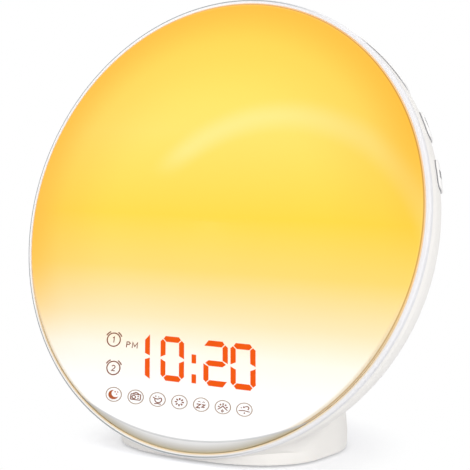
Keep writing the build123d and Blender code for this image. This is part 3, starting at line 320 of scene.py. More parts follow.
arc_distance = add_node(tree, "ShaderNodeVectorMath", {"operation": "DISTANCE"}, {
    0: flat, 1: ARC_CENTRE}).outputs["Value"]
up_right = add_node(tree, "ShaderNodeVectorMath", {"operation": "DOT_PRODUCT"}, {
    0: flat, 1: UP_AND_RIGHT}).outputs["Value"]
arc_strength = add_node(tree, "ShaderNodeMapRange", SMOOTH, {
    "Value": up_right, "From Min": 8.0, "From Max": 24.0, "To Max": ARC_STRENGTH}).outputs["Result"]
arc = painted_line(tree, arc_distance, ARC_RADIUS, 0.0, ARC_HALF_WIDTH, arc_strength)
glow = add_node(tree, "ShaderNodeMix", MIX_COLOURS, {0: arc, 6: glow, 7: ARC_COLOUR}).outputs[2]
print("arc of radius", ARC_RADIUS, "mm")

# %% [markdown]
# The rim is deeper in colour, because light travels further through the lens
# there, and most so at the upper left. Two washes by radius, a broad one and a
# close one, add up to that.

# %% The deeper rim
EDGE_COLOUR = linear("fdbd38")
EDGE_WASHES = ((40.0, 75.0, 0.45), (66.0, 84.0, 0.55))
UP_AND_LEFT = (-0.25, 1.0, 0.0)

broad, close = [add_node(tree, "ShaderNodeMapRange", SMOOTH, {
    "Value": radius, "From Min": start, "From Max": end, "To Max": strength}).outputs["Result"]
    for start, end, strength in EDGE_WASHES]
washes = add_node(tree, "ShaderNodeMath", {"operation": "ADD"}, {0: broad, 1: close})
up_left = add_node(tree, "ShaderNodeVectorMath", {"operation": "DOT_PRODUCT"}, {
    0: flat, 1: UP_AND_LEFT}).outputs["Value"]
edge_here = add_node(tree, "ShaderNodeMapRange", SMOOTH, {
    "Value": up_left, "From Min": -50.0, "From Max": 22.0})
edge = add_node(tree, "ShaderNodeMath", {"operation": "MULTIPLY"}, {
    0: washes.outputs[0], 1: edge_here.outputs["Result"]})
glow = add_node(tree, "ShaderNodeMix", MIX_COLOURS, {
    0: edge.outputs[0], 6: glow, 7: EDGE_COLOUR}).outputs[2]
print("washes on the rim", len(EDGE_WASHES))

# %% [markdown]
# At the very rim the lens turns over into a narrow shoulder, which gets a pale
# painted highlight where the face glows. Lower down, painted shade turns the rim
# a dull cream instead. A thin amber line of painted shade shows where the lip of
# the ring shades the lens, duller at the bottom too.

# %% Shoulder highlight, low rim shade and lip shade
SHOULDER_HIGHLIGHT = linear("fddcae")
SHOULDER_START, SHOULDER_END = 82.7, 82.85
LOW_RIM_SHADE = linear("dccba8")
LOW_RIM_START, LOW_RIM_END, LOW_RIM_SHADE_STRENGTH = 80.9, 82.3, 0.7
LIP_SHADE_COLOUR = linear("bd8638")
LOW_LIP_SHADE_COLOUR = linear("b08a4e")
LIP_SHADE_RADIUS, LIP_SHADE_STRENGTH = 82.6, 0.75

# Painted light: a highlight on the shoulder, shade on the low rim and by the ring's lip.
glowing = add_node(tree, "ShaderNodeMapRange", SMOOTH, {
    "Value": up, "From Min": -45.0, "From Max": -15.0}).outputs["Result"]
shoulder_highlight = add_node(tree, "ShaderNodeMapRange", SMOOTH, {
    "Value": radius, "From Min": SHOULDER_START, "From Max": SHOULDER_END,
    "To Max": glowing}).outputs["Result"]
low_strength = add_node(tree, "ShaderNodeMapRange", SMOOTH, {
    "Value": up, "From Min": -45.0, "From Max": -18.0,
    "To Min": LOW_RIM_SHADE_STRENGTH, "To Max": 0.0}).outputs["Result"]
low_rim_shade = add_node(tree, "ShaderNodeMapRange", SMOOTH, {
    "Value": radius, "From Min": LOW_RIM_START, "From Max": LOW_RIM_END,
    "To Max": low_strength}).outputs["Result"]
lip_shade = painted_line(tree, radius, LIP_SHADE_RADIUS, 0.05, 0.32, LIP_SHADE_STRENGTH)
lip_shade_colour = add_node(tree, "ShaderNodeMix", MIX_COLOURS, {
    0: glowing, 6: LOW_LIP_SHADE_COLOUR, 7: LIP_SHADE_COLOUR}).outputs[2]
for amount, paint in ((shoulder_highlight, SHOULDER_HIGHLIGHT), (low_rim_shade, LOW_RIM_SHADE), (lip_shade, lip_shade_colour)):
    glow = add_node(tree, "ShaderNodeMix", MIX_COLOURS, {0: amount, 6: glow, 7: paint}).outputs[2]
print("seam at radius", LIP_SHADE_RADIUS, "mm")

# %% [markdown]
# The chin, the flat bevel below the display, has no light behind it. It catches
# less of the room's light towards the rim, so painted shade darkens it there, and
# a painted reflection gives it the warm tone of the ring beside it. Its upper
# edge is a fine grey line.

# %% Chin of the lens
CHIN_CENTRE = (0.0, 30.0, 0.0)
CHIN_RADIUS = 108.8
CHIN_EDGE = 0.15
CHIN_SHADES = [(0.0, "eaeaea"), (0.3, "e3e3e2"), (0.5, "cfcdc8"), (0.67, "bfbaad"), (0.83, "b9aa86")]
CHIN_LINE_COLOUR = linear("bdbdbf")
CHIN_LINE_STRENGTH = 0.75

chin_distance = add_node(tree, "ShaderNodeVectorMath", {"operation": "DISTANCE"}, {
    0: flat, 1: CHIN_CENTRE}).outputs["Value"]
chin = add_node(tree, "ShaderNodeMapRange", SMOOTH, {
    "Value": chin_distance, "From Min": CHIN_RADIUS - CHIN_EDGE,
    "From Max": CHIN_RADIUS + CHIN_EDGE}).outputs["Result"]
# Painted shade and reflection: the chin grows darker and warmer towards the rim.
to_rim = add_node(tree, "ShaderNodeMapRange", inputs={
    "Value": radius, "From Min": 78.0, "From Max": 84.0})
chin_stops = [(position, linear(colour)) for position, colour in CHIN_SHADES]
chin_shade = add_node(tree, "ShaderNodeValToRGB", inputs={
    "Fac": to_rim.outputs["Result"]}, stops=chin_stops).outputs["Color"]
line = painted_line(tree, chin_distance, CHIN_RADIUS, 0.1, 0.5, CHIN_LINE_STRENGTH)
for amount, paint in ((chin, chin_shade), (line, CHIN_LINE_COLOUR)):
    glow = add_node(tree, "ShaderNodeMix", MIX_COLOURS, {0: amount, 6: glow, 7: paint}).outputs[2]
print("chin shades", len(chin_stops))

# %% [markdown]
# The glow is shared between two sockets. Part of each colour is the plastic's
# own, which the room lights, and the rest is emission. Above the display most
# is emission. Below it, and on the chin, the lens is plain plastic. A sanded
# mould leaves the surface satin, and its fine scratches are drawn at 0.6 mm.

# %% Share the glow and add the satin
GLOW_SHARE = 0.72
BLACK = (0.0, 0.0, 0.0, 1.0)
SATIN_MM = 0.6

share_off_chin = add_node(tree, "ShaderNodeMapRange", SMOOTH, {
    "Value": chin_distance, "From Min": CHIN_RADIUS - CHIN_EDGE, "From Max": CHIN_RADIUS + CHIN_EDGE,
    "To Min": GLOW_SHARE, "To Max": 0.0}).outputs["Result"]
share = add_node(tree, "ShaderNodeMapRange", SMOOTH, {
    "Value": up, "From Min": -54.0, "From Max": -28.0, "To Max": share_off_chin}).outputs["Result"]
own = add_node(tree, "ShaderNodeMix", MIX_COLOURS, {0: share, 6: glow, 7: BLACK})
emitted = add_node(tree, "ShaderNodeMix", MIX_COLOURS, {0: share, 6: BLACK, 7: glow})
satin = add_node(tree, "ShaderNodeTexNoise", inputs={
    "Vector": flat, "Scale": 1 / SATIN_MM, "Detail": 3.0, "Roughness": 0.55})
satin_bump = add_node(tree, "ShaderNodeBump", inputs={
    "Height": satin.outputs["Fac"], "Strength": 1.0, "Distance": 0.0015 * MM})
tree.links.new(own.outputs[2], shader.inputs["Base Color"])
tree.links.new(emitted.outputs[2], shader.inputs["Emission Color"])
tree.links.new(satin_bump.outputs["Normal"], shader.inputs["Normal"])
dress(opal, "front_diffuser")

# %% [markdown]
# ## The ring round the lens
# The ring is white ABS with a satin finish. Painted light makes it a little
# brighter on the left. Where it touches the lens it picks up a thin line of gold,
# because light leaks out of the lens's edge. That is painted by radius, and it
# fades within about a millimetre.

# %% Satin ABS ring
LEFT_PAINTED_LIGHT = linear("f4f3f3")
LEAK_START = 83.0
LEAK_WIDTH_LOW, LEAK_WIDTH_HIGH = 1.15, 0.4
LEAK_LOW_COLOUR, LEAK_HIGH_COLOUR = linear("e8cd9c"), linear("f8dab0")

ring_abs = moulded_plastic("satin_white_ring_abs", "e8e7e9", "e6e5e7", 0.5, 0.9, 0.0015)
tree, shader, ring_colour = repaint(ring_abs)
flat, up, radius = face_coordinates(tree)
to_left = add_node(tree, "ShaderNodeVectorMath", {"operation": "DOT_PRODUCT"}, {
    0: flat, 1: (-1.0, 0.0, 0.0)}).outputs["Value"]
# Painted light: the ring is whiter towards the left.
left_painted_light = add_node(tree, "ShaderNodeMapRange", SMOOTH, {
    "Value": to_left, "From Min": -40.0, "From Max": 40.0}).outputs["Result"]
leak_height = {"Value": up, "From Min": -50.0, "From Max": -10.0}
leak_end = add_node(tree, "ShaderNodeMapRange", SMOOTH, {
    **leak_height, "To Min": LEAK_START + LEAK_WIDTH_LOW, "To Max": LEAK_START + LEAK_WIDTH_HIGH})
leak = add_node(tree, "ShaderNodeMapRange", SMOOTH, {
    "Value": radius, "From Min": LEAK_START, "From Max": leak_end.outputs["Result"],
    "To Min": 1.0, "To Max": 0.0}).outputs["Result"]
leak_colour = add_node(tree, "ShaderNodeMix", MIX_COLOURS, {
    0: add_node(tree, "ShaderNodeMapRange", SMOOTH, leak_height).outputs["Result"],
    6: LEAK_LOW_COLOUR, 7: LEAK_HIGH_COLOUR}).outputs[2]
for amount, paint in ((left_painted_light, LEFT_PAINTED_LIGHT), (leak, leak_colour)):
    ring_colour = add_node(tree, "ShaderNodeMix", MIX_COLOURS, {
        0: amount, 6: ring_colour, 7: paint}).outputs[2]
print("light leaks from radius", LEAK_START, "mm")

# %% [markdown]
# The outer edge of the ring is rounded, and on the side away from the key light
# it falls into shade and shows as a fine grey outline. That shade is painted as
# a line about half a millimetre wide, which fades out towards the right.

# %% Painted shade on the ring's outline
OUTLINE_SHADE_COLOUR = linear("949a9d")
OUTLINE_RADIUS = 84.35

# Painted shade along the ring's outer edge, strongest on the left.
shade_outline_strength = add_node(tree, "ShaderNodeMapRange", SMOOTH, {
    "Value": to_left, "From Min": -45.0, "From Max": -5.0}).outputs["Result"]
outline = painted_line(tree, radius, OUTLINE_RADIUS, 0.12, 0.36, shade_outline_strength)
ring_colour = add_node(tree, "ShaderNodeMix", MIX_COLOURS, {
    0: outline, 6: ring_colour, 7: OUTLINE_SHADE_COLOUR})
tree.links.new(ring_colour.outputs[2], shader.inputs["Base Color"])
dress(ring_abs, "bezel_ring")

# %% [markdown]
# ## Marks on a surface
# The lit digits and signs are thin plates that hug the lens. They could be
# painted in a material, but then their edges would be as coarse as the noise of
# the render and they would not be pieces. Here each mark is a flat outline in
# millimetres. Every corner is dropped onto the surface by a ray, and the plate
# is closed below and above the hit. The same function marks the keys.

# %% Dropping points onto a surface


def ray_target(node_name):
    """The surface of a CAD node, ready for rays."""
    mesh = nodes[node_name].data
    return BVHTree.FromPolygons([v.co for v in mesh.vertices], [tuple(p.vertices) for p in mesh.polygons])


RAY_START = 20.0
lens_surface = ray_target("front_diffuser")


def on_lens(across, up):
    """A point of the lens's front and the way out of it."""
    hit = lens_surface.ray_cast(face_point(across, up, RAY_START), -FACE_OUT)[0]
    return hit, FACE_OUT


print("dome height mm", round((on_lens(0, 0)[0] - FACE_CENTRE).dot(FACE_OUT) / MM, 2))

# %% [markdown]
# Three kinds of shape are enough for every mark. A plate is one closed outline.
# A stroke is a line with a width, built from two parallel sides. A ring is a
# stroke that closes on itself.

# %% Shapes of marks


def arc_points(centre, size, start, end, steps=16):
    """Points on an arc, with its angles in degrees."""
    turns = [math.radians(start + (end - start) * i / steps) for i in range(steps + 1)]
    return [(centre[0] + size * math.cos(t), centre[1] + size * math.sin(t)) for t in turns]


def stroke(points, width, closed=False):
    """The two sides of a line: each point moves half the width along its mitre."""
    left, right = [], []
    count = len(points)
    for i, point in enumerate(points):
        before = points[i - 1] if closed or i > 0 else point
        after = points[(i + 1) % count] if closed or i < count - 1 else point
        along_in = Vector((point[0] - before[0], point[1] - before[1])).normalized()
        along_out = Vector((after[0] - point[0], after[1] - point[1])).normalized()
        mid = (along_in + along_out).normalized()
        side = Vector((-mid.y, mid.x))
        reach = width / 2 / max(0.5, abs(mid.dot(along_out if along_out.length else along_in)))
        left.append((point[0] + side.x * reach, point[1] + side.y * reach))
        right.append((point[0] - side.x * reach, point[1] - side.y * reach))
    return left, right, closed


def ring(centre, size, width):
    """A closed circle of that radius, drawn as a stroke."""
    return stroke(arc_points(centre, size, 0, 352.5, 47), width, True)


def moved(shape, across, up, squash=1.0, size=1.0):
    """A plate or a stroke scaled, made flatter by a factor and moved on the surface."""
    if isinstance(shape, list):
        return [(x * size + across, y * size * squash + up) for x, y in shape]
    left, right, closed = shape
    return moved(left, across, up, squash, size), moved(right, across, up, squash, size), closed


print("points of an arc", len(arc_points((0, 0), 1.0, 0, 90)))

# %% [markdown]
# A mark starts a little below the surface, so that no gap shows, and stands
# 0.04 mm above it, as print does. Its floor, its top and the walls between them
# are faces of one mesh, so the mark is a closed solid. All marks of a kind join
# one piece, and that piece rides on the body it belongs to.

# %% Building marks
MARK_ROOT = 0.06
MARK_HEIGHT = 0.04


def lifted(bm, surface, points, height):
    """Vertices for points on a surface, raised by a height in millimetres."""
    placed = [surface(*point) for point in points]
    return [bm.verts.new(hit + out * height * MM) for hit, out in placed]


def add_mark(bm, surface, shape):
    """Adds one plate or stroke as a closed solid."""
    if isinstance(shape, list):
        low = lifted(bm, surface, shape, -MARK_ROOT)
        high = lifted(bm, surface, shape, MARK_HEIGHT)
        bm.faces.new(low)
        bm.faces.new(high)
        for i in range(len(shape)):
            bm.faces.new((low[i - 1], low[i], high[i], high[i - 1]))
        return
    left, right, closed = shape
    corners = [lifted(bm, surface, left, -MARK_ROOT), lifted(bm, surface, right, -MARK_ROOT),
               lifted(bm, surface, right, MARK_HEIGHT), lifted(bm, surface, left, MARK_HEIGHT)]
    for i in range(0 if closed else 1, len(left)):
        for j in range(4):
            bm.faces.new((corners[j - 1][i - 1], corners[j][i - 1], corners[j][i], corners[j - 1][i]))
    if not closed:
        bm.faces.new([side[0] for side in corners])
        bm.faces.new([side[-1] for side in corners])


def make_marks(name, shapes, surface, body, material):
    """One piece from many marks on the same surface."""
    bm = bmesh.new()
    for shape in shapes:
        add_mark(bm, surface, shape)
    bmesh.ops.recalc_face_normals(bm, faces=bm.faces)
    mesh = bpy.data.meshes.new(name)
    bm.to_mesh(mesh)
    bm.free()
    mesh.materials.append(material)
    piece = bpy.data.objects.new(name, mesh)
    bpy.context.scene.collection.objects.link(piece)
    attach(piece, body)
    print(name, "marks", len(shapes), "faces", len(mesh.polygons))


# %% [markdown]
# ## Lit digits
# Behind the lens, light guides carry the light of orange LEDs to its back, so
# a lit segment looks like a flat patch of even, saturated orange. The hue
# wavers a little along each segment, since every guide has its own LED.

# %% Lit orange guide
MULTIPLY_COLOURS = {"data_type": "RGBA", "blend_type": "MULTIPLY"}
DIM = (0.12, 0.12, 0.12, 1.0)


def lit_colour(name, colour, second, strength, patch_mm):
    """A lit or printed mark: mostly its own light, a little uneven from patch to patch."""
    material, tree, shader = new_material(name, {
        "IOR": 1.49, "Roughness": 0.5, "Specular IOR Level": 0.1, "Emission Strength": strength})
    place = add_node(tree, "ShaderNodeTexCoord").outputs["Object"]
    patches = add_node(tree, "ShaderNodeTexNoise", inputs={
        "Vector": place, "Scale": 1 / (patch_mm * MM), "Detail": 1.0})
    emitted = add_node(tree, "ShaderNodeMix", MIX_COLOURS, {
        0: patches.outputs["Fac"], 6: linear(colour), 7: linear(second)}).outputs[2]
    own = add_node(tree, "ShaderNodeMix", MULTIPLY_COLOURS, {0: 1.0, 6: emitted, 7: DIM}).outputs[2]
    tree.links.new(emitted, shader.inputs["Emission Color"])
    tree.links.new(own, shader.inputs["Base Color"])
    return material


digit_light = lit_colour("orange_lit_guide", "e85000", "ee5a00", 0.95, 3.0)
icon_light = lit_colour("red_brown_lit_guide", "8a4826", "7a3e20", 0.85, 2.0)
outline_light = lit_colour("dim_lit_guide", "ab8f78", "9c8068", 0.85, 2.0)
print("lit colours", digit_light.name, icon_light.name, outline_light.name)

# %% [markdown]
# A digit has seven segments, called a to g, clockwise from the top with g in
# the middle. Only two outlines are drawn: the top bar and the upper left bar.
# The others are their mirror images. The two ends where a 2 stops are cut
# slanting, and so are the ends of a 1.

# %% Seven segments
DIGIT_LEVEL = -50.8
COLON_LEVEL = -51.3
SLANT = math.tan(math.radians(8.5))
BAR_TOP = [(-2.9, 8.0), (2.9, 8.0), (3.75, 7.0), (2.55, 5.95), (-2.55, 5.95), (-3.75, 7.0)]
BAR_MIDDLE = [(-2.9, 0.98), (2.9, 0.98), (4.3, 0.0), (2.9, -0.98), (-2.9, -0.98), (-4.3, 0.0)]
BAR_SIDE = [(-5.1, 0.35), (-5.1, 6.0), (-4.1, 6.8), (-2.95, 5.85), (-2.95, 1.25)]


def mirrored(outline, across=1, up=1):
    """An outline mirrored across or up and down."""
    return [(x * across, y * up) for x, y in outline]


segments = {
    "a": BAR_TOP, "b": mirrored(BAR_SIDE, across=-1), "c": mirrored(BAR_SIDE, -1, -1),
    "d": mirrored(BAR_TOP, up=-1), "e": mirrored(BAR_SIDE, up=-1), "f": BAR_SIDE, "g": BAR_MIDDLE,
}
slanted_top = [(-2.9, 8.0), (2.9, 8.0), (3.75, 7.0), (2.55, 5.95), (-4.7, 5.95)]
digit_shapes = {
    "0": [segments[name] for name in "abcdef"],
    "1": [[(5.1, 8.0), (5.1, 0.4), (2.95, 1.1), (2.95, 5.9)],
          [(5.1, -0.4), (5.1, -8.0), (2.95, -6.9), (2.95, -1.1)]],
    "2": [slanted_top, segments["b"], segments["g"], segments["e"], mirrored(slanted_top, -1, -1)],
}
print({digit: len(shapes) for digit, shapes in digit_shapes.items()})

# %% [markdown]
# The whole display leans to the left as it rises, so a point is pushed sideways
# by its height times the slant. The clock shows twenty past ten.

# %% Digits and colon
DIGIT_PLACES = [("1", -22.95), ("0", -8.0), ("2", 10.45), ("0", 21.75)]
COLON_PLACE = 1.3
COLON_DOT_LEVELS = (1.35, -5.65)
COLON_DOT = [(-0.95, -1.575), (0.95, -1.575), (0.95, 1.575), (-0.95, 1.575)]


def slanted(outline, across, level):
    """An outline moved to its place on the face and slanted."""
    return [(across + x - (level + y - COLON_LEVEL) * SLANT, level + y) for x, y in outline]


digit_marks = [
    slanted(outline, across, DIGIT_LEVEL)
    for digit, across in DIGIT_PLACES
    for outline in digit_shapes[digit]
]
digit_marks += [slanted(COLON_DOT, COLON_PLACE, COLON_LEVEL + level) for level in COLON_DOT_LEVELS]
make_marks("lit_digits", digit_marks, on_lens, "root", digit_light)

# %% [markdown]
# ## Signs of the display
# To the left of the digits stand two alarm clocks with their numbers, one above
# the other, and beside the first one PM for the afternoon. Letters and numbers
# are a few strokes each, in the manner of an engraver's stencil.

# %% Alarm signs
ALARM_SQUASH = 0.82
ALARM_ACROSS = -34.3
ALARM_LEVEL = -51.25
ALARM_SPREAD = 5.2
ALARM_RADIUS = 3.0
BELL_RADIUS = 3.85
BELL_HALF_TURN = 19
numeral_one = stroke([(-0.45, 0.75), (0.15, 1.25), (0.15, -1.25)], 0.4)
numeral_two = stroke(arc_points((0, 0.5), 0.7, 165, -30, 8) + [(-0.75, -1.2), (0.8, -1.2)], 0.4)

alarm_marks = []
for numeral, step in ((numeral_one, 1), (numeral_two, -1)):
    level = ALARM_LEVEL + step * ALARM_SPREAD
    signs = [ring((0, 0), ALARM_RADIUS, 0.5), numeral]
    for middle in (45, 135):
        bell = arc_points((0, 0), BELL_RADIUS, middle - BELL_HALF_TURN, middle + BELL_HALF_TURN, 6)
        signs.append(stroke(bell, 0.5))
    across = ALARM_ACROSS - (level - COLON_LEVEL) * SLANT
    alarm_marks += [moved(sign, across, level, ALARM_SQUASH) for sign in signs]

LETTER_LEVEL = -47.3
letter_p = [stroke([(0, -1.3), (0, 1.3)], 0.38),
            stroke([(0, 1.2), (1.0, 1.2), (1.55, 0.65), (1.0, 0.05), (0, 0.05)], 0.38)]
letter_m = [stroke([(0, -1.3), (0, 1.3), (1.1, -0.6), (2.2, 1.3), (2.2, -1.3)], 0.38)]
for letter, across in ((letter_p, -28.9), (letter_m, -26.3)):
    alarm_marks += [moved(part, across, LETTER_LEVEL, ALARM_SQUASH) for part in letter]
make_marks("lit_alarm_signs", alarm_marks, on_lens, "root", icon_light)

# %% [markdown]
# Below the digits runs a row of seven round signs for the wake-up sounds: a
# moon, a radio, a bird, a sun, sleep, a sunrise over a hill, and a pond. Each
# sign is a thin ring with a little drawing in it, all in millimetres from the
# middle of its own ring.

# %% Drawings of the seven sounds
FINE = 0.42
RAY_WIDTH = 0.6


def rays(count, start, step, near, far, centre=(0, 0)):
    """Short strokes round a centre."""
    turns = [math.radians(start + step * i) for i in range(count)]
    ends = [[(centre[0] + math.cos(t) * reach, centre[1] + math.sin(t) * reach) for reach in (near, far)]
            for t in turns]
    return [stroke(pair, RAY_WIDTH) for pair in ends]


def dot(across, up, size):
    """A small round plate."""
    return arc_points((across, up), size, 0, 330, 11)


moon_outline = arc_points((-0.1, -0.1), 2.2, 75, 340, 20) + arc_points((0.75, 0.55), 1.75, 325, 118, 14)
moon = [moon_outline, dot(0.5, 1.3, 0.34), dot(1.6, 1.3, 0.3), dot(1.2, 0.3, 0.3)]
radio = [stroke([(-1.9, -1.3), (1.9, -1.3), (2.1, -1.0), (2.1, 1.0),
                 (1.9, 1.3), (-1.9, 1.3), (-2.1, 1.0), (-2.1, -1.0)], FINE, True),
         ring((-0.8, -0.1), 0.75, FINE), dot(1.1, 0.4, 0.3), dot(1.1, -0.6, 0.3),
         stroke([(-1.2, 1.6), (0.0, 2.2), (1.2, 1.6)], FINE)]
bird = [stroke(arc_points((0.3, 0.0), 1.45, 165, 400, 20), FINE),
        stroke([(-2.0, 0.9), (-1.1, 0.4), (0.1, 0.2), (1.4, 0.95)], FINE),
        dot(-0.9, 1.5, 0.3), dot(0.4, 1.3, 0.24), stroke([(-1.2, -2.1), (0.2, -1.9), (1.6, -2.1)], FINE)]
sun = rays(8, 0, 45, 1.0, 1.95)
sleep = [stroke([(-1.9, 0.1), (-0.3, 0.1), (-1.9, -1.7), (-0.3, -1.7)], 0.5),
         stroke([(0.4, 0.0), (1.6, 0.0), (0.4, -1.2), (1.6, -1.2)], 0.5),
         stroke([(-1.5, 1.2), (-1.0, 1.5), (-0.4, 1.2)], 0.28),
         stroke([(0.4, 1.2), (1.0, 1.5), (1.5, 1.2)], 0.28)]
sunrise = rays(5, 10, 40, 1.35, 2.1, (0, -0.2)) + [
    stroke([(-2.1, -1.4), (-0.9, -0.4), (0, 0.6), (0.9, -0.4), (2.1, -1.4)], FINE),
    stroke([(0, -1.3), (0.45, -1.9), (0, -2.5), (-0.45, -1.9)], 0.3, True)]
pond = [stroke([(-2.4, -0.7), (0, -0.5), (2.4, -0.9)], 0.4), dot(-0.3, 1.2, 0.42), dot(-1.4, 0.8, 0.26),
        dot(0.2, -1.7, 0.34), stroke(arc_points((1.0, 0.9), 0.85, -60, 150, 10), FINE)]
sound_drawings = [moon, radio, bird, sun, sleep, sunrise, pond]
print("strokes in each sign", [len(drawing) for drawing in sound_drawings])

# %% [markdown]
# The signs stand in one row that rises a little to the right. They stand closer
# together along it and get slightly smaller, and all are flatter than they are
# wide. The moon is brighter, because its sound is the chosen one.

# %% Row of signs
SOUND_SQUASH = 0.73
SIGN_RADIUS = 3.3
RING_WIDTH = 0.36
SIGN_START = (-31.8, -66.05)
SIGN_PITCH = 9.95
SIGN_CLOSING = 0.24
SIGN_RISE = 0.09
FIRST_SIZE, SIZE_STEP = 1.06, 0.02
sign_places = [
    (SIGN_START[0] + i * (SIGN_PITCH - SIGN_CLOSING * (i - 1) / 2), SIGN_START[1] + i * SIGN_RISE)
    for i in range(len(sound_drawings))
]


def sign_mark(part, index):
    """One stroke of the sign at that place in the row."""
    return moved(part, *sign_places[index], SOUND_SQUASH, FIRST_SIZE - SIZE_STEP * index)


sign_marks = [sign_mark(part, i) for i, drawing in enumerate(sound_drawings) if i > 0 for part in drawing]
make_marks("lit_sound_signs", sign_marks, on_lens, "root", icon_light)
moon_light = lit_colour("lit_moon_guide", "c86636", "b85a2c", 0.75, 2.0)
moon_marks = [sign_mark(part, 0) for part in moon]
make_marks("lit_moon_sign", moon_marks, on_lens, "root", moon_light)
ring_marks = [sign_mark(ring((0, 0), SIGN_RADIUS, RING_WIDTH), i) for i in range(len(sign_places))]
make_marks("sign_rings", ring_marks, on_lens, "root", outline_light)
print("signs in the row", len(sign_places))

# %% [markdown]
# ## Marks on the keys
# The side keys carry small pictograms in grey pad-printing ink: a lamp and a
# menu on the right, plus and minus on the left. A ray aimed at the rim from
# outside finds the key's face, with one axis along the rim and one into the
# depth of the head. Each mark rides on its own key.

# %% Pictograms on the side keys
KEY_DEPTH = 10.3
OUTSIDE = 120.0
ink = moulded_plastic("grey_pad_printing_ink", "4a4a50", "55555b", 0.5, 0.3, 0.001, 1.5)
lamp_sign = rays(8, 0, 45, 1.2, 1.8) + [dot(0, 0, 0.8)]
menu_sign = [stroke([(-1.4, level), (1.4, level)], 0.65) for level in (-1.2, 0.0, 1.2)]
plus_sign = [stroke([(-1.2, 0), (1.2, 0)], 0.5), stroke([(0, 0.3), (0, 1.2)], 0.5),
             stroke([(0, -1.2), (0, -0.3)], 0.5)]
minus_sign = [stroke([(-1.2, 0), (1.2, 0)], 0.5)]


def on_key(key_name):
    """A function that places points on the outer face of a side key."""
    surface = ray_target(key_name)
    low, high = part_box(key_name)
    middle = (Vector(low) + Vector(high)) / 2 - FACE_CENTRE
    turn = math.atan2(middle.dot(FACE_UP), middle.dot(FACE_ACROSS))
    out = FACE_ACROSS * math.cos(turn) + FACE_UP * math.sin(turn)
    along_rim = FACE_UP * math.cos(turn) - FACE_ACROSS * math.sin(turn)

    def place(along, deep):
        offset = out * OUTSIDE + along_rim * along - FACE_OUT * (KEY_DEPTH + deep)
        return surface.ray_cast(FACE_CENTRE + offset * MM, -out)[0], out

    return place


for key_name, sign in (("right_upper_key", lamp_sign), ("right_lower_key", menu_sign),
                       ("left_upper_key", plus_sign), ("left_lower_key", minus_sign)):
    piece_name = key_name.replace("_key", "_pictogram")
    make_marks(piece_name, sign, on_key(key_name), key_name, ink)

# %% [markdown]
# ## Inside and below
# The other pieces hardly show, but the part is taken apart in use, so each gets
# the finish it really has. Nylon, polycarbonate and rubber are moulded, and the
# function for moulded plastic serves them too, each with its own grain.

# %% Other mouldings
reflector_pp = moulded_plastic("gloss_white_polypropylene", "f6f6f4", "f1f1ef", 0.22, 0.6, 0.001, 1.49)
black_pc = moulded_plastic("black_polycarbonate", "17171a", "1e1e21", 0.42, 0.5, 0.006, 1.58)
black_nylon = moulded_plastic("black_nylon", "1b1b1d", "222225", 0.5, 0.5, 0.008, 1.53)
grey_rubber = moulded_plastic("grey_silicone_rubber", "77746f", "6d6a66", 0.72, 0.8, 0.012, 1.41)
black_rubber = moulded_plastic("black_rubber_bushing", "232324", "2b2b2c", 0.68, 0.7, 0.01, 1.52)
chip_epoxy = moulded_plastic("black_chip_epoxy", "1a1a1c", "222224", 0.55, 0.3, 0.004, 1.55)
dress(reflector_pp, "lamp_reflector")
dress(black_pc, "display_housing")
dress(black_nylon, "power_socket", "snooze_plunger", "left_lower_plunger", "left_upper_plunger",
      "right_lower_plunger", "right_upper_plunger")
dress(grey_rubber, "rubber_feet")
dress(black_rubber, "aerial_bushing")
dress(chip_epoxy, "main_board_chips")

# %% [markdown]
# ## Printed circuit boards
# A board is glass cloth in epoxy under a coat of solder mask. The cloth shows
# through as a fine weave, about 0.5 mm, drawn here at 1.2 mm as two crossed
# wave patterns. A wave texture repeats every pi / 10 of its scaled length, and
# its scale is worked out from that. Copper tracks lie under the mask and
# lighten it. A brick texture gives their straight runs.

# %% Solder-masked boards
TRACKS = {"offset": 0.37, "squash": 2.5, "squash_frequency": 3}


def solder_masked_board(name, mask, over_copper, weave_mm=1.2, track_mm=1.6):
    """Glass epoxy under solder mask, with copper showing through."""
    material, tree, shader = new_material(name, {"IOR": 1.52, "Roughness": 0.32})
    place = add_node(tree, "ShaderNodeTexCoord").outputs["Object"]
    tracks = add_node(tree, "ShaderNodeTexBrick", TRACKS, {
        "Vector": place, "Scale": 1 / (track_mm * 8 * MM),
        "Mortar Size": 0.03, "Brick Width": 0.9, "Row Height": 0.3,
        "Color1": linear(mask), "Color2": linear(mask), "Mortar": linear(over_copper)})
    warp, weft = [add_node(tree, "ShaderNodeTexWave", {"bands_direction": axis}, {
        "Vector": place, "Scale": math.pi / (10 * weave_mm * MM)}) for axis in ("X", "Z")]
    weave = add_node(tree, "ShaderNodeMath", {"operation": "MULTIPLY"}, {
        0: warp.outputs["Fac"], 1: weft.outputs["Fac"]})
    shade = add_node(tree, "ShaderNodeMapRange", inputs={
        "Value": weave.outputs[0], "To Min": 0.9, "To Max": 1.0}).outputs["Result"]
    cloth = add_node(tree, "ShaderNodeCombineColor", inputs={"Red": shade, "Green": shade, "Blue": shade})
    colour = add_node(tree, "ShaderNodeMix", MULTIPLY_COLOURS, {
        0: 1.0, 6: tracks.outputs["Color"], 7: cloth.outputs["Color"]})
    bump = add_node(tree, "ShaderNodeBump", inputs={
        "Height": weave.outputs[0], "Strength": 1.0, "Distance": 0.01 * MM})
    tree.links.new(colour.outputs[2], shader.inputs["Base Color"])
    tree.links.new(bump.outputs["Normal"], shader.inputs["Normal"])
    return material


green_board = solder_masked_board("green_solder_mask_fr4", "0d5330", "2a7a48")
white_board = solder_masked_board("white_solder_mask_fr4", "eeeeea", "e2e0d6")
dress(green_board, "main_board", "display_board", "left_key_board", "right_key_board", "snooze_key_board")
dress(white_board, "lamp_board")

# %% [markdown]
# ## Plated and rolled metal
# Screws are steel with a thin coat of zinc, bright and slightly blue. Contacts
# are bronze under nickel, and the coin cell's can is stainless steel. All show
# fine lines from the tool or the roll. A noise stretched along one direction
# draws them, and makes some lines rougher than others.

# %% Metals


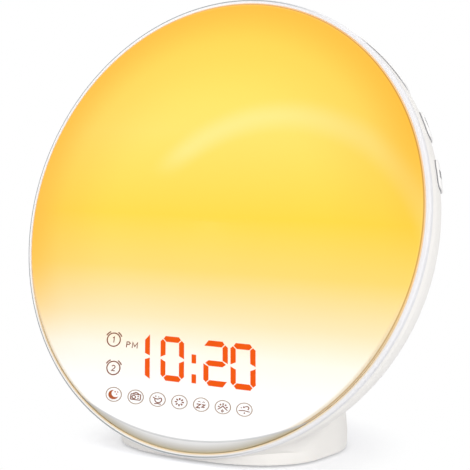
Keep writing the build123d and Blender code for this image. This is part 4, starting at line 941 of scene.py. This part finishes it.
def lined_metal(name, colour, worn, roughness, line_mm, line_depth_mm, stretch=(1, 1, 12)):
    """Metal with fine lines: stretch says along which axis they run."""
    material, tree, shader = new_material(name, {"Metallic": 1.0})
    place = add_node(tree, "ShaderNodeTexCoord").outputs["Object"]
    pulled = add_node(tree, "ShaderNodeMapping", {"vector_type": "TEXTURE"}, {
        "Vector": place, "Scale": stretch})
    lines = add_node(tree, "ShaderNodeTexNoise", inputs={
        "Vector": pulled.outputs["Vector"], "Scale": 1 / (line_mm * MM), "Detail": 3.0})
    tint = add_node(tree, "ShaderNodeMix", MIX_COLOURS, {
        0: lines.outputs["Fac"], 6: linear(colour), 7: linear(worn)})
    gloss = add_node(tree, "ShaderNodeMapRange", inputs={
        "Value": lines.outputs["Fac"], "From Min": 0.3, "From Max": 0.7,
        "To Min": roughness - 0.07, "To Max": roughness + 0.1})
    bump = add_node(tree, "ShaderNodeBump", inputs={
        "Height": lines.outputs["Fac"], "Strength": 1.0, "Distance": line_depth_mm * MM})
    tree.links.new(tint.outputs[2], shader.inputs["Base Color"])
    tree.links.new(gloss.outputs["Result"], shader.inputs["Roughness"])
    tree.links.new(bump.outputs["Normal"], shader.inputs["Normal"])
    return material


zinc_steel = lined_metal("zinc_plated_steel", "c9ccd1", "b4b8bf", 0.3, 0.3, 0.002, (1, 1, 1))
can_steel = lined_metal("rolled_stainless_steel", "c6c5c2", "b5b3b0", 0.26, 0.4, 0.002, (20, 1, 1))
nickel = lined_metal("nickel_plated_bronze", "cfc8b4", "bfb69f", 0.24, 0.3, 0.002)
stamped_steel = lined_metal("stamped_galvanised_steel", "b9bbbd", "9da0a3", 0.38, 0.8, 0.003, (1, 1, 1))
screw_names = [name for name in nodes if name.endswith("_screws")]
dress(zinc_steel, *screw_names)
dress(can_steel, "coin_cell")
dress(nickel, "cell_contacts")
dress(stamped_steel, "speaker_frame")

# %% [markdown]
# ## The speaker
# Its magnet is ferrite, a sintered ceramic that looks like dull charcoal. Its
# cone is pressed paper pulp with a coat of lacquer. Its gasket is a punched
# foam sheet, whose cells a Voronoi texture draws. The real cells are 0.3 mm,
# and they are drawn at 0.7 mm. The paper's fibres are drawn at 1 mm.

# %% Ferrite, paper and foam
FIBRE_MM = 1.0
CELL_MM = 0.7

ferrite = moulded_plastic("sintered_ferrite", "2f2f31", "3a393a", 0.62, 0.5, 0.015, 1.8)
dress(ferrite, "speaker_magnet")

cone_paper, tree, shader = new_material("lacquered_cone_paper", {"IOR": 1.5, "Sheen Weight": 0.15})
place = add_node(tree, "ShaderNodeTexCoord").outputs["Object"]
fibres = add_node(tree, "ShaderNodeTexNoise", inputs={
    "Vector": place, "Scale": 1 / (FIBRE_MM * MM), "Detail": 6.0, "Roughness": 0.7, "Distortion": 1.2})
fibre_tint = add_node(tree, "ShaderNodeMix", MIX_COLOURS, {
    0: fibres.outputs["Fac"], 6: linear("262523"), 7: linear("3d3a37")})
fibre_gloss = add_node(tree, "ShaderNodeMapRange", SMOOTH, {
    "Value": fibres.outputs["Fac"], "From Min": 0.3, "From Max": 0.7, "To Min": 0.55, "To Max": 0.8})
fibre_bump = add_node(tree, "ShaderNodeBump", inputs={
    "Height": fibres.outputs["Fac"], "Strength": 1.0, "Distance": 0.03 * MM})
tree.links.new(fibre_tint.outputs[2], shader.inputs["Base Color"])
tree.links.new(fibre_gloss.outputs["Result"], shader.inputs["Roughness"])
tree.links.new(fibre_bump.outputs["Normal"], shader.inputs["Normal"])
dress(cone_paper, "speaker_cone")

foam, tree, shader = new_material("black_closed_cell_foam", {"IOR": 1.5, "Roughness": 0.9})
place = add_node(tree, "ShaderNodeTexCoord").outputs["Object"]
cells = add_node(tree, "ShaderNodeTexVoronoi", inputs={"Vector": place, "Scale": 1 / (CELL_MM * MM)})
cell_tint = add_node(tree, "ShaderNodeMix", MIX_COLOURS, {
    0: cells.outputs["Distance"], 6: linear("141415"), 7: linear("343436")})
cell_bump = add_node(tree, "ShaderNodeBump", inputs={
    "Height": cells.outputs["Distance"], "Strength": 1.0, "Distance": 0.08 * MM})
tree.links.new(cell_tint.outputs[2], shader.inputs["Base Color"])
tree.links.new(cell_bump.outputs["Normal"], shader.inputs["Normal"])
dress(foam, "speaker_gasket")

# %% [markdown]
# ## Light guides and LEDs
# Clear guides are polycarbonate that carries light by reflection inside, so
# they are really transparent here. Slow, faint flow lines show how the melt ran.
# The mask behind the digits is smoked film.

# %% Clear and smoked plastic


def clear_guide(name, colour, flow_mm=1.5):
    """Clear polycarbonate with faint flow lines."""
    material, tree, shader = new_material(name, {
        "IOR": 1.58, "Roughness": 0.08, "Transmission Weight": 0.9})
    place = add_node(tree, "ShaderNodeTexCoord").outputs["Object"]
    flow = add_node(tree, "ShaderNodeTexNoise", inputs={
        "Vector": place, "Scale": 1 / (flow_mm * MM), "Detail": 2.0, "Distortion": 1.5})
    tint = add_node(tree, "ShaderNodeMix", MIX_COLOURS, {
        0: flow.outputs["Fac"], 6: linear(colour), 7: linear("ffffff")})
    bump = add_node(tree, "ShaderNodeBump", inputs={
        "Height": flow.outputs["Fac"], "Strength": 1.0, "Distance": 0.004 * MM})
    tree.links.new(tint.outputs[2], shader.inputs["Base Color"])
    tree.links.new(bump.outputs["Normal"], shader.inputs["Normal"])
    return material


dress(clear_guide("orange_tinted_polycarbonate", "ff8a4a"), "segment_light_guides")
dress(clear_guide("clear_polycarbonate", "f0f2f2"), "idle_light_guides")
dress(moulded_plastic("smoked_polyester_film", "1c1b1d", "242226", 0.2, 0.4, 0.001, 1.6), "display_mask")

# %% [markdown]
# A lamp LED is a white package with a window of yellow phosphor gel, and a
# capacitor is a can with a sleeve. Which way a surface points tells the window
# from the walls, so the colour is chosen by its normal: where it agrees with
# the way out of the face, the gel or the bare can shows.

# %% Two-tone packages
WINDOW_START, WINDOW_END = 0.85, 0.95
MOTTLE = 0.25


def two_tone_package(name, wall, window, roughness, grain_mm=0.5):
    """A package whose outward face differs from its walls."""
    material, tree, shader = new_material(name, {"IOR": 1.5, "Roughness": roughness})
    texture = add_node(tree, "ShaderNodeTexCoord").outputs
    outward = add_node(tree, "ShaderNodeVectorMath", {"operation": "DOT_PRODUCT"}, {
        0: texture["Normal"], 1: FACE_OUT}).outputs["Value"]
    facing = add_node(tree, "ShaderNodeMapRange", SMOOTH, {
        "Value": outward, "From Min": WINDOW_START, "From Max": WINDOW_END}).outputs["Result"]
    grain = add_node(tree, "ShaderNodeTexNoise", inputs={
        "Vector": texture["Object"], "Scale": 1 / (grain_mm * MM), "Detail": 2.0})
    mottled = add_node(tree, "ShaderNodeMix", MIX_COLOURS, {
        0: grain.outputs["Fac"], 6: linear(window), 7: linear(wall)}).outputs[2]
    window_colour = add_node(tree, "ShaderNodeMix", MIX_COLOURS, {
        0: MOTTLE, 6: linear(window), 7: mottled}).outputs[2]
    colour = add_node(tree, "ShaderNodeMix", MIX_COLOURS, {0: facing, 6: linear(wall), 7: window_colour})
    tree.links.new(colour.outputs[2], shader.inputs["Base Color"])
    bump = add_node(tree, "ShaderNodeBump", inputs={
        "Height": grain.outputs["Fac"], "Strength": 1.0, "Distance": 0.004 * MM})
    tree.links.new(bump.outputs["Normal"], shader.inputs["Normal"])
    return material


dress(two_tone_package("led_package_with_phosphor_gel", "f3f2ee", "f0c93a", 0.3), "lamp_leds")
dress(two_tone_package("led_package_with_orange_gel", "efede8", "f07a2a", 0.3), "display_leds")
dress(two_tone_package("capacitor_in_blue_sleeve", "27304f", "b9bbbe", 0.35), "main_board_capacitors")
tact_switch = moulded_plastic("black_switch_polyamide", "1d1d20", "28282b", 0.48, 0.4, 0.006, 1.53)
dress(tact_switch, "snooze_switches", "left_switches", "right_switches")
print("nodes left undressed", sorted(set(nodes) - dressed))

# %% [markdown]
# ## Floor
# The clock stands on a wide pale floor that keeps its soft shadow. The camera
# should see the floor as white where nothing shades it. More light would wash
# out the clock, so the floor adds a little light of its own, for camera rays
# only. From 41 mm outwards it fades to pure white, which it reaches at 68 mm, so
# the shadow ends there and the floor's far edge can't be seen. Rays that bounce
# off gloss, or pass through clear plastic, see the same floor.

# %% Floor
FLOOR_HALF = 1.5
FLOOR_LIFT = 0.3
SHADOW_START, SHADOW_END = 0.041, 0.068


def seen_directly(tree):
    """One for rays of the camera, and for those that gloss or clear plastic sends on; else zero."""
    rays_in = add_node(tree, "ShaderNodeLightPath").outputs
    seen = rays_in["Is Camera Ray"]
    for kind in ("Is Glossy Ray", "Is Transmission Ray"):
        seen = add_node(tree, "ShaderNodeMath", {"operation": "MAXIMUM"}, {
            0: seen, 1: rays_in[kind]}).outputs[0]
    return seen


floor_mesh = bpy.data.meshes.new("floor")
floor_mesh.from_pydata([(-FLOOR_HALF, -FLOOR_HALF, 0), (FLOOR_HALF, -FLOOR_HALF, 0),
                        (FLOOR_HALF, FLOOR_HALF, 0), (-FLOOR_HALF, FLOOR_HALF, 0)], [], [(0, 1, 2, 3)])
floor = bpy.data.objects.new("floor", floor_mesh)
bpy.context.scene.collection.objects.link(floor)

paper, tree, shader = new_material("white_paper_sweep", {
    "Base Color": linear("e6e7ea"), "Roughness": 0.9, "Specular IOR Level": 0.0,
    "Emission Color": (1, 1, 1, 1)})
seen = seen_directly(tree)
lift = add_node(tree, "ShaderNodeMath", {"operation": "MULTIPLY"}, {0: seen, 1: FLOOR_LIFT}).outputs[0]
tree.links.new(lift, shader.inputs["Emission Strength"])
from_clock = add_node(tree, "ShaderNodeVectorMath", {"operation": "LENGTH"}, {
    0: add_node(tree, "ShaderNodeTexCoord").outputs["Object"]}).outputs["Value"]
far = add_node(tree, "ShaderNodeMapRange", SMOOTH, {
    "Value": from_clock, "From Min": SHADOW_START, "From Max": SHADOW_END,
    "To Max": seen}).outputs["Result"]
pure = add_node(tree, "ShaderNodeEmission", inputs={"Color": (1, 1, 1, 1), "Strength": 1.0})
surface = add_node(tree, "ShaderNodeMixShader", inputs={
    0: far, 1: shader.outputs["BSDF"], 2: pure.outputs["Emission"]})
output = next(node for node in tree.nodes if node.type == "OUTPUT_MATERIAL")
tree.links.new(surface.outputs["Shader"], output.inputs["Surface"])
floor_mesh.materials.append(paper)
print("floor", 2 * FLOOR_HALF, "m wide")

# %% [markdown]
# ## Light
# Large soft boxes stand above, to the right, to the left and in front, and the
# white room fills the rest. What the camera sees of the room is pure white. The room lights
# the clock less than that, so that a colour renders about as it is written.

# %% Room
ROOM_LIGHT = 0.57
world = bpy.data.worlds.new("white_room")
bpy.context.scene.world = world
world.use_nodes = True
tree = world.node_tree
tree.nodes.clear()
strength = add_node(tree, "ShaderNodeMapRange", inputs={
    "Value": seen_directly(tree), "To Min": ROOM_LIGHT, "To Max": 1.0})
background = add_node(tree, "ShaderNodeBackground", inputs={
    "Color": (1, 1, 1, 1), "Strength": strength.outputs["Result"]})
add_node(tree, "ShaderNodeOutputWorld", inputs={"Surface": background.outputs[0]})
print("room light", ROOM_LIGHT)

# %% [markdown]
# A soft box is a square area lamp. Its size in metres sets how soft the shadow
# is, and its power in watts how bright it is. All look at the middle of the
# face. The box on the right is the key light, and the others fill.

# %% Soft boxes


def soft_box(name, place, size, power):
    """A square area lamp that looks at the clock."""
    data = bpy.data.lights.new(name, "AREA")
    data.size = size
    data.energy = power
    lamp = bpy.data.objects.new(name, data)
    lamp.location = place
    lamp.rotation_euler = (Vector(place) - FACE_CENTRE).to_track_quat("Z", "Y").to_euler()
    bpy.context.scene.collection.objects.link(lamp)


soft_box("soft_box_above", (-0.25, -0.1, 0.9), 0.8, 2.7)
soft_box("soft_box_right", (0.95, -0.5, 0.2), 0.7, 4.0)
soft_box("soft_box_left", (-0.8, -0.6, 0.4), 0.6, 1.4)
soft_box("soft_box_front", (0.6, -0.8, 0.35), 0.5, 2.0)
bpy.context.scene.view_settings.view_transform = "Standard"
print("lamps", len(bpy.data.lights))
